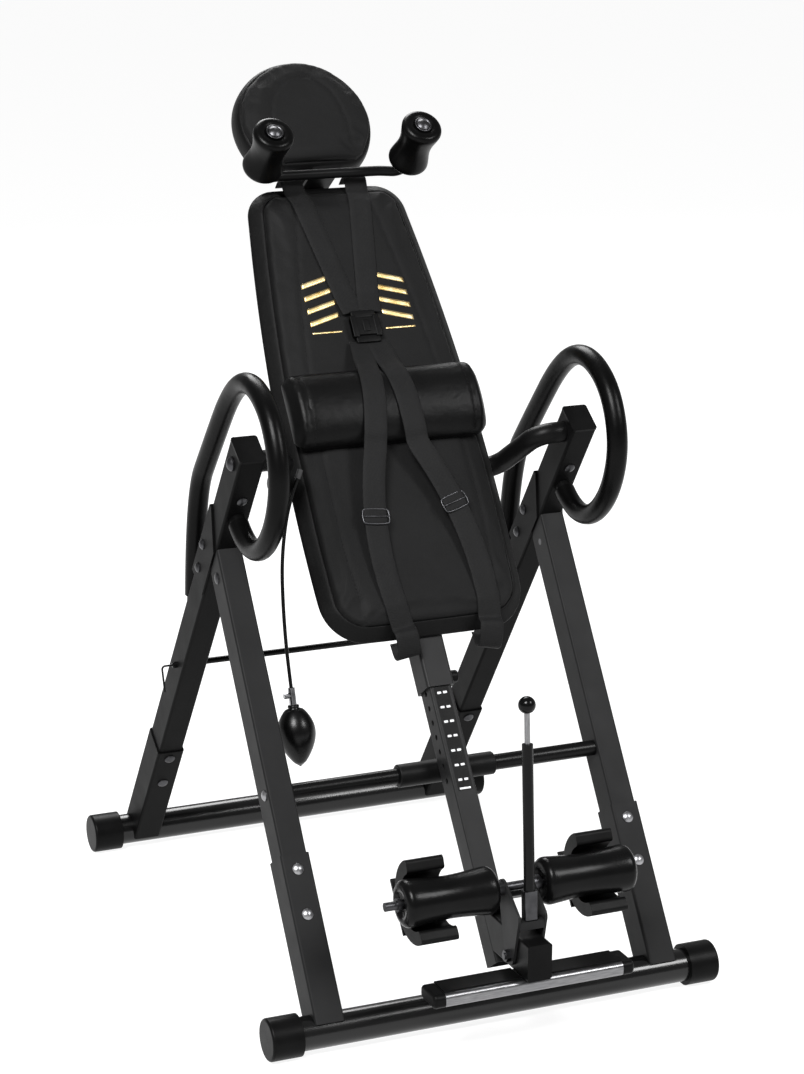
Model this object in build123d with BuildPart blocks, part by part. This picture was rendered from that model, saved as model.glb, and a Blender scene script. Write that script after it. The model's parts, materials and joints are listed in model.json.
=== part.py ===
"""Inversion table: folding A-frame, tilting padded bed, sliding boom with ankle clamp, headrest and harness."""

from build123d import *
from math import asin, cos, radians, sin, tan
import os

# ---- driving dimensions, millimetres -------------------------------------------------------
# X runs across the table, Y from the foot side to the head side, Z up. The floor is z = 0.
base_length = 720.0
base_radius = 25.0
cap_radius = 31.5
cap_length = 48.0
front_base_y = -365.5
rear_base_y = front_base_y + 843.0

leg_x = 269.0
leg_width = 40.0
leg_depth = 50.0
leg_wall = 2.5
front_lean = 34.3
rear_lean = 34.5
front_leg_start = 120.0
rear_leg_start = 120.0
rear_leg_end = 952.0
front_socket_end = 254.0
rear_socket_end = 248.0
socket_width = 45.0
socket_depth = 55.0
bolt_stations = (164.0, 231.0)

hinge_offset = 52.0
hinge_station = 726.7
ear_radius = 14.0
limit_bar_station = 451.0
limit_bar_radius = 5.0
cross_tube_station = 349.0
cross_tube_depth = -8.0
cross_tube_radius = 12.0
cross_sleeve_radius = 17.5
cross_sleeve_length = 157.0

tilt = 36.0
bed_y = front_base_y + 342.0
bed_z = 700.0
cushion_depth = 26.0
panel_rise = 11.0
board_back = 35.0
pivot_s = 62.0
pivot_n = 76.0
pivot_tube_radius = 16.0
pivot_cross_n = -53.0
pivot_pin_radius = 8.0
bush_radius = 11.0

boom_width = 36.0
boom_depth = 40.0
boom_front = -40.3
boom_top = -116.0
boom_bottom = -702.0
sleeve_bottom = -280.0
sleeve_top = 44.0
mark_pitch = 22.7
mark_rows = 7

roller_s = -614.0
roller_n = 54.0
roller_radius = 36.0
roller_waist = 31.5
roller_inner = 37.0
roller_outer = 181.0
shaft_radius = 6.5
running_gap = 0.05

foot_width = 37.0
foot_front = front_base_y - 143.5
foot_bottom = 121.2
foot_top = 176.0
arm_pivot = (front_base_y - 90.0, 142.0)
lever_base = (front_base_y - 107.5, 205.0)
lever_lean = 4.2

handle_tube_radius = 12.5
handle_grip_radius = 15.8
hose_radius = 2.8

# ---- frames ---------------------------------------------------------------------------------
base_z = 31.0
sides = (-1, 1)
sin_bed, cos_bed = sin(radians(tilt)), cos(radians(tilt))


def bed_point(x, s, n):
    """A point in the bed's frame: x across, s up along the bed, n out of its padded face."""
    return Vector(x, bed_y + s * sin_bed - n * cos_bed, bed_z + s * cos_bed + n * sin_bed)


def bed_plane(x=0.0, s=0.0, n=0.0):
    """Plane facing out of the bed, with its local y up along the bed."""
    return Plane(origin=bed_point(x, s, n), x_dir=(1, 0, 0), z_dir=(0, -cos_bed, sin_bed))


def bed_side(x):
    """Plane across the bed at x: local x is s, local y is n."""
    return Plane(origin=bed_point(x, 0, 0), x_dir=(0, sin_bed, cos_bed), z_dir=(1, 0, 0))


def leg_plane(front, x, s, depth=0.0):
    """Plane square to a leg at distance s from its base tube; depth moves it towards the rear side."""
    lean = radians(front_lean if front else rear_lean)
    way = 1.0 if front else -1.0
    base = front_base_y if front else rear_base_y
    y = base + way * s * sin(lean) + depth * cos(lean)
    z = base_z + s * cos(lean) - way * depth * sin(lean)
    return Plane(origin=(x, y, z), x_dir=(1, 0, 0), z_dir=(0, way * sin(lean), cos(lean)))


def leg_face(front, x, s, depth=0.0):
    """Plane on a leg's front side at distance s, facing the foot side of the table."""
    place = leg_plane(front, x, s, depth)
    return Plane(origin=place.origin, x_dir=(1, 0, 0), z_dir=-place.y_dir)


def across(x, point, way=1.0):
    """Plane square to X through a (y, z) point, facing the way given."""
    return Plane(origin=(x, point[0], point[1]), x_dir=(0, way, 0), z_dir=(way, 0, 0))


def yz(place):
    return place.origin.Y, place.origin.Z


hinge_point = yz(leg_plane(False, 0, hinge_station, -hinge_offset))
limit_bar_point = yz(leg_plane(False, 0, limit_bar_station))
cross_tube_point = yz(leg_plane(True, 0, cross_tube_station, cross_tube_depth))
pivot_point = (bed_point(0, pivot_s, pivot_n).Y, bed_point(0, pivot_s, pivot_n).Z)
shaft_point = (bed_point(0, roller_s, roller_n).Y, bed_point(0, roller_s, roller_n).Z)


# ---- shared features ------------------------------------------------------------------------
def export(part, name):
    part.label = name
    export_step(part, f"parts/{name}.step")


def drill(place, radius, depth):
    """Round hole of that depth into the part being built, from place against its normal."""
    with BuildSketch(place) as section:
        Circle(radius)
    extrude(section.sketch, amount=-depth, mode=Mode.SUBTRACT)


def rod(place, radius, length, inner=0.0):
    """Round bar, or a tube when inner is given, standing on place along its normal."""
    with BuildSketch(place) as section:
        Circle(radius)
        if inner:
            Circle(inner, mode=Mode.SUBTRACT)
    extrude(section.sketch, amount=length)


def block(place, width, height, depth, mode=Mode.ADD, corner=0.0):
    """Rectangular bar on place: width along its x, height along its y, depth along its normal."""
    with BuildSketch(place) as section:
        if corner:
            RectangleRounded(width, height, corner)
        else:
            Rectangle(width, height)
    extrude(section.sketch, amount=depth, mode=mode)


def box_tube(place, width, height, wall, length, corner=4.0):
    """Rectangular tube with rounded corners."""
    with BuildSketch(place) as section:
        RectangleRounded(width, height, corner)
        RectangleRounded(width - 2 * wall, height - 2 * wall, max(corner - wall, 0.8), mode=Mode.SUBTRACT)
    extrude(section.sketch, amount=length)


def dome_bolt(place, head_radius, head_height, shank_radius, shank_length):
    """Domed bolt seated on place, its head out along the normal and its shank in behind."""
    rim, rise = 0.25 * head_height, 0.75 * head_height
    dome_radius = (head_radius**2 + rise**2) / (2 * rise)
    half_angle = asin(head_radius / dome_radius) / 2
    arc_middle = (dome_radius * sin(half_angle), head_height - dome_radius * (1 - cos(half_angle)))
    section_plane = Plane(origin=place.origin, x_dir=place.x_dir, z_dir=-place.y_dir)
    with BuildSketch(section_plane) as section:
        with BuildLine():
            Polyline((0, head_height), (0, -shank_length), (shank_radius, -shank_length),
                     (shank_radius, 0), (head_radius, 0), (head_radius, rim))
            ThreePointArc((head_radius, rim), arc_middle, (0, head_height))
        make_face()
    revolve(section.sketch, axis=Axis(place.origin, place.z_dir))


def smooth_radii(points):
    """Bend radius at each corner of a route: 0.45 of its shorter run over the tangent of half its turn."""
    radii = []
    for before, corner, after in zip(points, points[1:], points[2:]):
        run_in, run_out = Vector(*corner) - Vector(*before), Vector(*after) - Vector(*corner)
        turn = radians(run_in.get_angle(run_out))
        radii.append(0.45 * min(run_in.length, run_out.length) / tan(turn / 2))
    return radii


def sweep_tube(points, radii, radius, inner=0.0):
    """Round tube along straight runs joined by arcs."""
    with BuildLine() as route:
        FilletPolyline(*points, radius=radii)
    with BuildSketch(Plane(origin=route.line @ 0, z_dir=route.line % 0)) as section:
        Circle(radius)
        if inner:
            Circle(inner, mode=Mode.SUBTRACT)
    sweep(section.sketch, path=route.line)


def cut_leg(front, x, margin=0.0):
    """Takes a leg's whole envelope out of the part being built."""
    block(leg_plane(front, x, 60), leg_width + 2 * margin, leg_depth + 2 * margin, 890, Mode.SUBTRACT)


os.makedirs("parts", exist_ok=True)

# ---- base tubes, end caps, leg sockets ------------------------------------------------------
for end, base_y, front in (("front", front_base_y, True), ("rear", rear_base_y, False)):
    tube_start = across(-(base_length / 2 - 5), (base_y, base_z))
    with BuildPart() as base_tube:
        rod(tube_start, base_radius, base_length - 10, base_radius - 2.0)
    export(base_tube.part, f"{end}_base_tube")

    with BuildPart() as base_caps:
        for side in sides:
            outer_face = across(side * base_length / 2, (base_y, base_z), side)
            rod(outer_face.offset(-cap_length), cap_radius, cap_length)
            drill(outer_face.offset(-4.5), base_radius + 0.02, cap_length)
        rims = base_caps.edges().filter_by(GeomType.CIRCLE).sort_by(Axis.X)
        fillet([rims[0], rims[-1]], 4)
        # A narrow flat along the bottom stands on the floor.
        with BuildSketch(Plane.XY):
            with Locations((0, base_y)):
                Rectangle(base_length, 2 * cap_radius)
        extrude(amount=-2, mode=Mode.SUBTRACT)
    export(base_caps.part, f"{end}_base_caps")

    socket_end = front_socket_end if front else rear_socket_end
    with BuildPart() as sockets:
        for side in sides:
            box_tube(leg_plane(front, side * leg_x, 5), socket_width, socket_depth, 2.3, socket_end - 5)
            for station in bolt_stations:
                drill(leg_face(front, side * leg_x, station, -socket_depth / 2), 4.2, 20)
        with BuildSketch(tube_start):
            Circle(base_radius + 0.02)
        extrude(amount=base_length, mode=Mode.SUBTRACT)
    export(sockets.part, f"{end}_leg_sockets")

# ---- rear legs, which rise to the tilt pivot --------------------------------------------------
bracket_bolts = ((680.0, 10.0), (727.0, 16.0))
handle_bolt_station = 868.0
for side, name in ((-1, "left"), (1, "right")):
    x = side * leg_x
    outer_x = x + side * leg_width / 2
    with BuildPart() as rear_leg:
        box_tube(leg_plane(False, x, rear_leg_start), leg_width, leg_depth, leg_wall, rear_leg_end - rear_leg_start)
        drill(across(outer_x + side, pivot_point, side), bush_radius, 60)
        drill(across(outer_x + side, limit_bar_point, side), limit_bar_radius + running_gap, 60)
        for station, depth in bracket_bolts:
            drill(across(outer_x + side, yz(leg_plane(False, x, station, depth)), side), 4.1, 60)
        for station in bolt_stations + (handle_bolt_station,):
            drill(leg_face(False, x, station, -leg_depth / 2 - 1), 4.2, 10)
    export(rear_leg.part, f"rear_leg_{name}")

with BuildPart() as post_caps:
    for side in sides:
        top = leg_plane(False, side * leg_x, rear_leg_end)
        with BuildSketch(top):
            RectangleRounded(leg_width + 1.0, leg_depth + 1.0, 4.5)
        extrude(amount=4)
        block(top, leg_width - 2 * leg_wall - 0.6, leg_depth - 2 * leg_wall - 0.6, -11, corner=2.0)
export(post_caps.part, "post_caps")

with BuildPart() as pivot_bushes:
    for side in sides:
        start = across(side * (leg_x - leg_width / 2), pivot_point, side)
        rod(start, bush_radius, leg_width, pivot_pin_radius + running_gap)
export(pivot_bushes.part, "pivot_bushes")

# ---- fold hinge brackets on the rear legs ----------------------------------------------------
bracket_wall = 3.0
bracket_low, bracket_high, bracket_slope_end = 655.0, 806.0, 752.0
with BuildPart() as hinge_brackets:
    for side in sides:
        x = side * leg_x
        block(leg_plane(False, x, bracket_low, bracket_wall / 2), leg_width + 2 * bracket_wall,
              leg_depth + bracket_wall, bracket_high - bracket_low)
        block(leg_plane(False, x, bracket_low - 1), leg_width + 0.1, leg_depth + 0.1, 160, Mode.SUBTRACT)
        # The cheeks' upper edge falls away towards the foot side.
        cheek_plane = Plane(origin=leg_plane(False, x - 30, bracket_high).origin,
                            x_dir=leg_plane(False, x, 0).y_dir, z_dir=(1, 0, 0))
        drop = bracket_high - bracket_slope_end
        with BuildSketch(cheek_plane):
            with BuildLine():
                Polyline((-26, -drop), (22, 1), (-26, 1), close=True)
            make_face()
        extrude(amount=60, mode=Mode.SUBTRACT)
        for station, depth in bracket_bolts:
            drill(across(x + side * 30, yz(leg_plane(False, x, station, depth)), side), 4.1, 60)
        # Two ears reach forward into the front leg's end.
        forward = -leg_plane(False, x, 0).y_dir
        for ear in sides:
            ear_plane = Plane(origin=(x + ear * 14 - 3, *hinge_point), x_dir=forward, z_dir=(1, 0, 0))
            reach = hinge_offset - leg_depth / 2 - 0.01
            with BuildSketch(ear_plane):
                Circle(ear_radius)
                with Locations((-reach / 2, 0)):
                    Rectangle(reach, 2 * ear_radius)
                Circle(5 + running_gap, mode=Mode.SUBTRACT)
            extrude(amount=6)
export(hinge_brackets.part, "hinge_brackets")

with BuildPart() as rear_leg_bolts:
    for side in sides:
        x = side * leg_x
        for station in bolt_stations:
            dome_bolt(leg_face(False, x, station, -socket_depth / 2), 8.5, 5.0, 4.0, 14)
        for station, depth in bracket_bolts:
            bolt_point = yz(leg_plane(False, x, station, depth))
            dome_bolt(across(x - leg_width / 2 - bracket_wall, bolt_point, -1), 8.0, 5.0, 4.0, 52)
            nut_face = across(x + leg_width / 2 + bracket_wall, bolt_point)
            with BuildSketch(nut_face):
                RegularPolygon(7.5, 6)
            extrude(amount=6)
        dome_bolt(leg_face(False, x, handle_bolt_station, -leg_depth / 2), 8.0, 5.0, 4.0, 8)
export(rear_leg_bolts.part, "rear_leg_bolts")

# ---- front legs ---------------------------------------------------------------------------------
hinge_s = (Vector(0, *hinge_point) - leg_plane(True, 0, 0).origin).dot(leg_plane(True, 0, 0).z_dir)
face_gap = 1.5
corner_radius = hinge_offset - leg_depth / 2 - 0.8
for side, name in ((-1, "left"), (1, "right")):
    x = side * leg_x
    with BuildPart() as front_leg:
        box_tube(leg_plane(True, x, front_leg_start), leg_width, leg_depth, leg_wall, hinge_s + 60 - front_leg_start)
        # The end follows the rear leg's front face and is rounded about the hinge pin below it.
        block(leg_plane(False, x, 600, 50 - leg_depth / 2 - face_gap), 60, 100, 250, Mode.SUBTRACT)
        with BuildSketch(Plane(origin=(x - 30, *hinge_point), x_dir=-leg_plane(False, x, 0).y_dir, z_dir=(1, 0, 0))):
            with Locations((-25, 25)):
                Rectangle(50, 50)
            Circle(corner_radius, mode=Mode.SUBTRACT)
        extrude(amount=60, mode=Mode.SUBTRACT)
        # Slot for the ears as the frame folds.
        slot_width = leg_width - 2 * leg_wall
        block(leg_plane(True, x, hinge_s - 17, leg_depth / 2), slot_width, 14, 90, Mode.SUBTRACT)
        drill(across(x + 30, hinge_point), 5.02, 60)
        drill(across(x + 30, cross_tube_point), 4.1, 60)
        for station in bolt_stations:
            drill(leg_face(True, x, station, -leg_depth / 2 - 1), 4.2, 10)
    export(front_leg.part, f"front_leg_{name}")

with BuildPart() as hinge_pins:
    for side in sides:
        outer_face = across(side * (leg_x + leg_width / 2), hinge_point, side)
        dome_bolt(outer_face, 9.0, 3.5, 5.0, leg_width)
export(hinge_pins.part, "hinge_pins")

cross_half = leg_x - leg_width / 2
with BuildPart() as cross_tube:
    rod(across(-cross_half, cross_tube_point), cross_tube_radius, 2 * cross_half, cross_tube_radius - 2)
export(cross_tube.part, "cross_tube")

with BuildPart() as cross_tube_sleeve:
    rod(across(-cross_sleeve_length / 2, cross_tube_point), cross_sleeve_radius, cross_sleeve_length,
        cross_tube_radius + 0.02)
    fillet(cross_tube_sleeve.edges().filter_by(GeomType.CIRCLE).group_by(SortBy.RADIUS)[-1], 2.5)
export(cross_tube_sleeve.part, "cross_tube_sleeve")

with BuildPart() as front_leg_bolts:
    for side in sides:
        x = side * leg_x
        for station in bolt_stations:
            dome_bolt(leg_face(True, x, station, -socket_depth / 2), 8.5, 5.0, 4.0, 14)
        dome_bolt(across(x + side * leg_width / 2, cross_tube_point, side), 8.0, 5.0, 4.0, leg_width + 14)
export(front_leg_bolts.part, "front_leg_bolts")

# ---- side handles --------------------------------------------------------------------------------
handle_route = [(front_base_y + y, z) for y, z in (
    (553, 470), (541, 692), (462, 786), (366, 896), (286, 925), (207, 890), (170, 811),
    (190, 732), (246, 676), (312, 668), (380, 718))]


def part_way(start, end, share):
    return tuple(a + share * (b - a) for a, b in zip(start, end))


grip_route = [part_way(*handle_route[:2], 0.26)] + handle_route[1:-1] + [part_way(*handle_route[-2:], 0.5)]
with BuildPart() as handle_tubes:
    for side in sides:
        x = side * leg_x
        route = [(x, y, z) for y, z in handle_route]
        sweep_tube(route, smooth_radii(route), handle_tube_radius)
        cut_leg(False, x)
export(handle_tubes.part, "handle_tubes")

with BuildPart() as handle_grips:
    for side in sides:
        x = side * leg_x
        route = [(x, y, z) for y, z in handle_route]
        trimmed = [(x, y, z) for y, z in grip_route]
        sweep_tube(trimmed, smooth_radii(route), handle_grip_radius, handle_tube_radius + 0.1)
        cut_leg(False, x, 0.5)
export(handle_grips.part, "handle_grips")

# ---- pin that limits the tilt -------------------------------------------------------------------
bar_half = leg_x + leg_width / 2 + 7
with BuildPart() as angle_limit_bar:
    rod(across(-bar_half, limit_bar_point), limit_bar_radius, 2 * bar_half)
    chamfer(angle_limit_bar.edges().filter_by(GeomType.CIRCLE), 1)
export(angle_limit_bar.part, "angle_limit_bar")

with BuildPart() as limit_bar_clip:
    wire = [(-bar_half - 0.05, *limit_bar_point), (-bar_half - 17, *limit_bar_point),
            (-bar_half - 12, limit_bar_point[0] + 2, limit_bar_point[1] - 44)]
    sweep_tube(wire, 5.0, 1.6)
export(limit_bar_clip.part, "limit_bar_clip")

# ---- bed: pivot tube, board and padding ---------------------------------------------------------
arm_x = leg_x - leg_width / 2 - 1.0
tube_route = [(-arm_x, pivot_n), (-207, pivot_n), (-183, pivot_cross_n)]
tube_route += [(-x, n) for x, n in reversed(tube_route)]
with BuildPart() as pivot_tube:
    sweep_tube([bed_point(x, pivot_s, n) for x, n in tube_route], [33.0, 40.0, 40.0, 33.0],
               pivot_tube_radius, pivot_tube_radius - 2.5)
export(pivot_tube.part, "pivot_tube")

with BuildPart() as pivot_bolts:
    for side in sides:
        outer_face = across(side * (leg_x + leg_width / 2 + 0.5), pivot_point, side)
        dome_bolt(outer_face, 11.0, 8.0, pivot_pin_radius, leg_width + 10)
        rod(outer_face.offset(-(leg_width + 13.5)), pivot_tube_radius - 2.52, 12)
export(pivot_bolts.part, "pivot_bolts")


def bed_outline(grow):
    """Outline of the padded board in the current sketch: widest at the hips, narrower at the shoulders."""
    with BuildLine() as outline:
        right = ThreePointArc((150 + grow, -190 - grow), (151.2 + grow, 174.5), (114 + grow, 539 + grow))
        left = ThreePointArc((-150 - grow, -190 - grow), (-151.2 - grow, 174.5), (-114 - grow, 539 + grow))
        Line(right @ 0, left @ 0)
        Line(right @ 1, left @ 1)
    make_face(outline.edges())
    fillet(vertices().group_by(Axis.Y)[0], 56 + grow)
    fillet(vertices().group_by(Axis.Y)[-1], 38 + grow)


with BuildPart() as back_board:
    with BuildSketch(bed_plane(n=-board_back)):
        bed_outline(-4)
    extrude(amount=board_back - cushion_depth - 0.3)
export(back_board.part, "back_board")

with BuildPart() as back_cushion:
    with BuildSketch(bed_plane(n=-cushion_depth)):
        bed_outline(10)
    extrude(amount=cushion_depth - panel_rise)
    with BuildSketch(bed_plane(n=-panel_rise)):
        bed_outline(-4)
    extrude(amount=panel_rise)
    fillet(back_cushion.faces().sort_by(Axis(bed_point(0, 0, 0), bed_plane().z_dir))[-1].edges(), 7)
export(back_cushion.part, "back_cushion")

pad_low, pad_high, pad_rise, pad_half = 95.0, 222.0, 44.0, 160.0
with BuildPart() as lumbar_pad:
    with BuildSketch(bed_side(-pad_half)):
        with BuildLine():
            ThreePointArc((pad_low, 0.4), ((pad_low + pad_high) / 2, pad_rise), (pad_high, 0.4))
            Line((pad_high, 0.4), (pad_low, 0.4))
        make_face()
    extrude(amount=2 * pad_half)
export(lumbar_pad.part, "lumbar_pad")

# ---- bed: spine and boom sleeve ----------------------------------------------------------
spine_width, spine_depth = 45.0, 28.0
spine_low, spine_high = 80.0, 470.0
spine_back = -board_back - 0.3 - spine_depth
with BuildPart() as spine_tube:
    spine_plane = bed_plane(s=spine_low, n=-board_back - 0.3 - spine_depth / 2)
    box_tube(Plane(origin=spine_plane.origin, x_dir=(1, 0, 0), z_dir=spine_plane.y_dir),
             spine_width, spine_depth, 2.0, spine_high - spine_low)
    # Two cheeks under the spine hold the pivot tube.
    for side in sides:
        saddle_plane = bed_side(side * (spine_width / 2 + 2.2) - 2)
        with BuildSketch(saddle_plane):
            with BuildLine():
                Polyline((10, -37), (122, -37), (122, -56), (84, -86), (34, -86), (10, -62), close=True)
            make_face()
            with Locations((pivot_s, pivot_cross_n)):
                Circle(pivot_tube_radius + 0.05, mode=Mode.SUBTRACT)
        extrude(amount=4)
export(spine_tube.part, "spine_tube")

sleeve_width, sleeve_depth = 44.6, 48.0
boom_middle = boom_front - boom_depth / 2
pin_s = sleeve_bottom + 18
up_the_boom = bed_plane().y_dir


def boom_plane(s):
    """Plane square to the boom at s along the bed."""
    return Plane(origin=bed_point(0, s, boom_middle), x_dir=(1, 0, 0), z_dir=up_the_boom)


def boom_side(side, s, out):
    """Plane on a side of the boom, facing away from it, out millimetres from its middle."""
    return Plane(origin=bed_point(side * out, s, boom_middle), x_dir=up_the_boom, z_dir=(side, 0, 0))


with BuildPart() as boom_sleeve:
    with BuildSketch(boom_plane(sleeve_bottom)):
        RectangleRounded(sleeve_width, sleeve_depth, 5)
        RectangleRounded(boom_width + 0.2, boom_depth + 0.2, 3.1, mode=Mode.SUBTRACT)
    extrude(amount=sleeve_top - sleeve_bottom)
    drill(boom_side(1, pin_s, sleeve_width / 2 + 1), 4.05, 6)
export(boom_sleeve.part, "boom_sleeve")

with BuildPart() as height_pin:
    knob = boom_side(1, pin_s, sleeve_width / 2 + 0.3)
    rod(knob, 7.0, 5)
    rod(knob.offset(5), 9.5, 11)
    rod(knob.offset(-3.6), 4.0, 3.7)
    fillet(height_pin.edges().filter_by(GeomType.CIRCLE).sort_by(Axis.X)[-1], 2.5)
export(height_pin.part, "height_pin")

# ---- boom: height tube with its scale, and the frame at its foot ------------------------------------
hole_stations = [pin_s - row * mark_pitch for row in range(mark_rows + 1)]
strip_low = sleeve_bottom - mark_rows * mark_pitch - 4
with BuildPart() as boom_tube:
    box_tube(boom_plane(boom_bottom), boom_width, boom_depth, 2.0, boom_top - boom_bottom, corner=3.0)
    for station in hole_stations:
        drill(boom_side(1, station, 30), 4.3, 60)
    block(bed_plane(s=(strip_low + sleeve_bottom + 20) / 2, n=boom_front - 0.8), 24, sleeve_bottom + 20 - strip_low, 5,
          Mode.SUBTRACT)
export(boom_tube.part, "boom_tube")

with BuildPart() as scale_strip:
    block(bed_plane(s=(strip_low + sleeve_bottom + 20) / 2, n=boom_front - 0.79), 23.8,
          sleeve_bottom + 19.8 - strip_low, 0.74)
export(scale_strip.part, "scale_strip")

heel_bar_s = roller_s + 10.0
cup_outer, cup_inner = 61.0, 41.0
with BuildPart() as heel_bar:
    box_tube(Plane(origin=bed_point(-150, heel_bar_s, boom_front + 12.1), x_dir=up_the_boom, z_dir=(1, 0, 0)),
             22, 24, 2.0, 300, corner=3.0)
    for side in sides:
        block(bed_plane(x=side * 134, s=heel_bar_s, n=boom_front + 24.1), 52, 84, 4.1)
    for side in sides:
        block(bed_plane(x=side * 134, s=heel_bar_s, n=boom_front + 28.2), 52, 30, roller_n - cup_outer + 1
              - boom_front - 28.2)
        with BuildSketch(Plane(origin=bed_point(side * 134 - 27, roller_s, roller_n), x_dir=up_the_boom,
                               z_dir=(1, 0, 0))):
            Circle(cup_outer + 0.05)
        extrude(amount=54, mode=Mode.SUBTRACT)
export(heel_bar.part, "heel_bar")

cup_gape_above, cup_gape_below = 78.0, 88.0
with BuildPart() as heel_pads:
    for side in sides:
        cup_plane = Plane(origin=bed_point(side * 134 - 29, roller_s, roller_n), x_dir=bed_plane().z_dir,
                          z_dir=(1, 0, 0))
        with BuildSketch(cup_plane):
            Circle(cup_outer)
            Circle(cup_inner, mode=Mode.SUBTRACT)
            with BuildLine():
                Polyline((0, 0), (200 * cos(radians(cup_gape_below)), 200 * sin(radians(cup_gape_below))),
                         (260, 0), (200 * cos(radians(cup_gape_above)), -200 * sin(radians(cup_gape_above))),
                         close=True)
            make_face(mode=Mode.SUBTRACT)
            fillet(vertices(), 6)
        extrude(amount=58)
export(heel_pads.part, "heel_pads")

foot_middle = (foot_bottom + foot_top) / 2
foot_plane = Plane(origin=(0, foot_front, foot_middle), x_dir=(1, 0, 0), z_dir=(0, 1, 0))
with BuildPart() as foot_tube:
    box_tube(foot_plane.offset(1.5), foot_width, foot_top - foot_bottom, 2.5, 175, corner=3.0)
    block(bed_plane(s=-640, n=boom_front + 0.05), 60, 300, -200, Mode.SUBTRACT)
    drill(across(foot_width / 2 + 1, arm_pivot), 5 + running_gap, 60)
export(foot_tube.part, "foot_tube")

footrest_half = 158.0
footrest_y = front_base_y - 108.0
footrest_z = foot_bottom - 12.2
with BuildPart() as footrest:
    rest_plane = across(-footrest_half + 18, (footrest_y, footrest_z))
    with BuildSketch(rest_plane):
        RectangleRounded(50, 20, 7)
        RectangleRounded(46, 16, 5, mode=Mode.SUBTRACT)
    extrude(amount=2 * footrest_half - 36)
export(footrest.part, "footrest")

with BuildPart() as footrest_tread:
    with BuildSketch(Plane(origin=(0, footrest_y + 3, footrest_z + 10.02), x_dir=(1, 0, 0), z_dir=(0, 0, 1))):
        Rectangle(2 * footrest_half - 38, 36)
        Rectangle(foot_width + 1, 60, mode=Mode.SUBTRACT)
    extrude(amount=2.0)
export(footrest_tread.part, "footrest_tread")

with BuildPart() as foot_end_caps:
    for side in sides:
        cap_plane = across(side * (footrest_half - 18), (footrest_y, footrest_z), side)
        with BuildSketch(cap_plane):
            RectangleRounded(51, 21, 8)
        extrude(amount=18)
        with BuildSketch(cap_plane):
            RectangleRounded(45, 15, 4.5)
        extrude(amount=-14)
    fillet(foot_end_caps.edges().group_by(Axis.X)[0] + foot_end_caps.edges().group_by(Axis.X)[-1], 5)
    block(foot_plane, foot_width + 1.0, foot_top - foot_bottom + 0.2, 1.48, corner=3.5)
    block(foot_plane, foot_width - 5.4, foot_top - foot_bottom - 5.6, 14, corner=1.0)
export(foot_end_caps.part, "foot_end_caps")

# ---- ankle clamp: arm, lever, roller shaft and rollers ----------------------------------------------
plate_gap, plate_thickness = 19.0, 4.0
lever_dir = Vector(0, sin(radians(lever_lean)), cos(radians(lever_lean)))
with BuildPart() as ankle_arm:
    for side in sides:
        inner_x = side * (plate_gap + plate_thickness / 2) - plate_thickness / 2
        with BuildSketch(Plane.YZ.offset(inner_x)):
            with Locations(arm_pivot):
                Circle(14)
            with Locations(shaft_point):
                Circle(13)
            with Locations(lever_base):
                Circle(11)
            make_hull()
            with Locations(arm_pivot):
                Circle(5.02, mode=Mode.SUBTRACT)
            with Locations(shaft_point):
                Circle(shaft_radius + 0.02, mode=Mode.SUBTRACT)
        extrude(amount=plate_thickness)
    with BuildSketch(Plane.YZ.offset(-plate_gap)):
        with Locations((lever_base[0], lever_base[1] - 10)):
            Rectangle(18, 12)
    extrude(amount=2 * plate_gap)
export(ankle_arm.part, "ankle_arm")

lever_start = Plane(origin=(0, lever_base[0], lever_base[1]), x_dir=(1, 0, 0), z_dir=lever_dir)
with BuildPart() as lever_clevis:
    block(lever_start.offset(-2.5), 20, 16, 42, corner=3.0)
    drill(lever_start.offset(60), 4.1, 80)
    block(Plane(origin=(0, lever_base[0], lever_base[1] - 4), x_dir=(1, 0, 0), z_dir=(0, 0, -1)), 40, 40, 30,
          Mode.SUBTRACT)
export(lever_clevis.part, "lever_clevis")

with BuildPart() as lever_tube:
    rod(lever_start.offset(39.6), 8.0, 215, 4.1)
export(lever_tube.part, "lever_tube")

with BuildPart() as pull_rod:
    rod(lever_start.offset(6), 4.05, 297)
export(pull_rod.part, "pull_rod")

with BuildPart() as pull_knob:
    with Locations(lever_start.offset(311.5).location):
        Sphere(12.5)
    drill(lever_start.offset(303), 4.06, 30)
export(pull_knob.part, "pull_knob")

with BuildPart() as roller_shaft:
    rod(across(-205, shaft_point), shaft_radius, 205 + roller_outer + 7)
    for side in sides:
        rod(across(side * (plate_gap + plate_thickness), shaft_point, side), 11, 13, shaft_radius)
    rod(across(roller_outer + 1, shaft_point), 11, 6, shaft_radius)
    rod(across(-roller_outer - 1, shaft_point, -1), 10, 5, shaft_radius)
export(roller_shaft.part, "roller_shaft")

with BuildPart() as ankle_pivot_bolt:
    outer_plate = across(plate_gap + plate_thickness, arm_pivot)
    dome_bolt(outer_plate, 9.0, 5.0, 5.0, 2 * (plate_gap + plate_thickness) + 9)
    with BuildSketch(across(-plate_gap - plate_thickness, arm_pivot, -1)):
        RegularPolygon(9.0, 6)
        Circle(4.9, mode=Mode.SUBTRACT)
    extrude(amount=7)
export(ankle_pivot_bolt.part, "ankle_pivot_bolt")

for side, name in ((-1, "left"), (1, "right")):
    with BuildPart() as roller:
        with BuildSketch(Plane(origin=(0, *shaft_point), x_dir=(1, 0, 0), z_dir=(0, -1, 0))):
            near, far = side * roller_inner, side * roller_outer
            middle = (near + far) / 2
            bore = shaft_radius + running_gap
            with BuildLine():
                Polyline((near, roller_radius), (near, bore), (far, bore), (far, roller_radius))
                ThreePointArc((near, roller_radius), (middle, roller_waist), (far, roller_radius))
            make_face()
            fillet(vertices().group_by(Axis.Y)[-1], 9)
        revolve(axis=Axis((0, *shaft_point), (1, 0, 0)))
    export(roller.part, f"ankle_roller_{name}")

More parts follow.
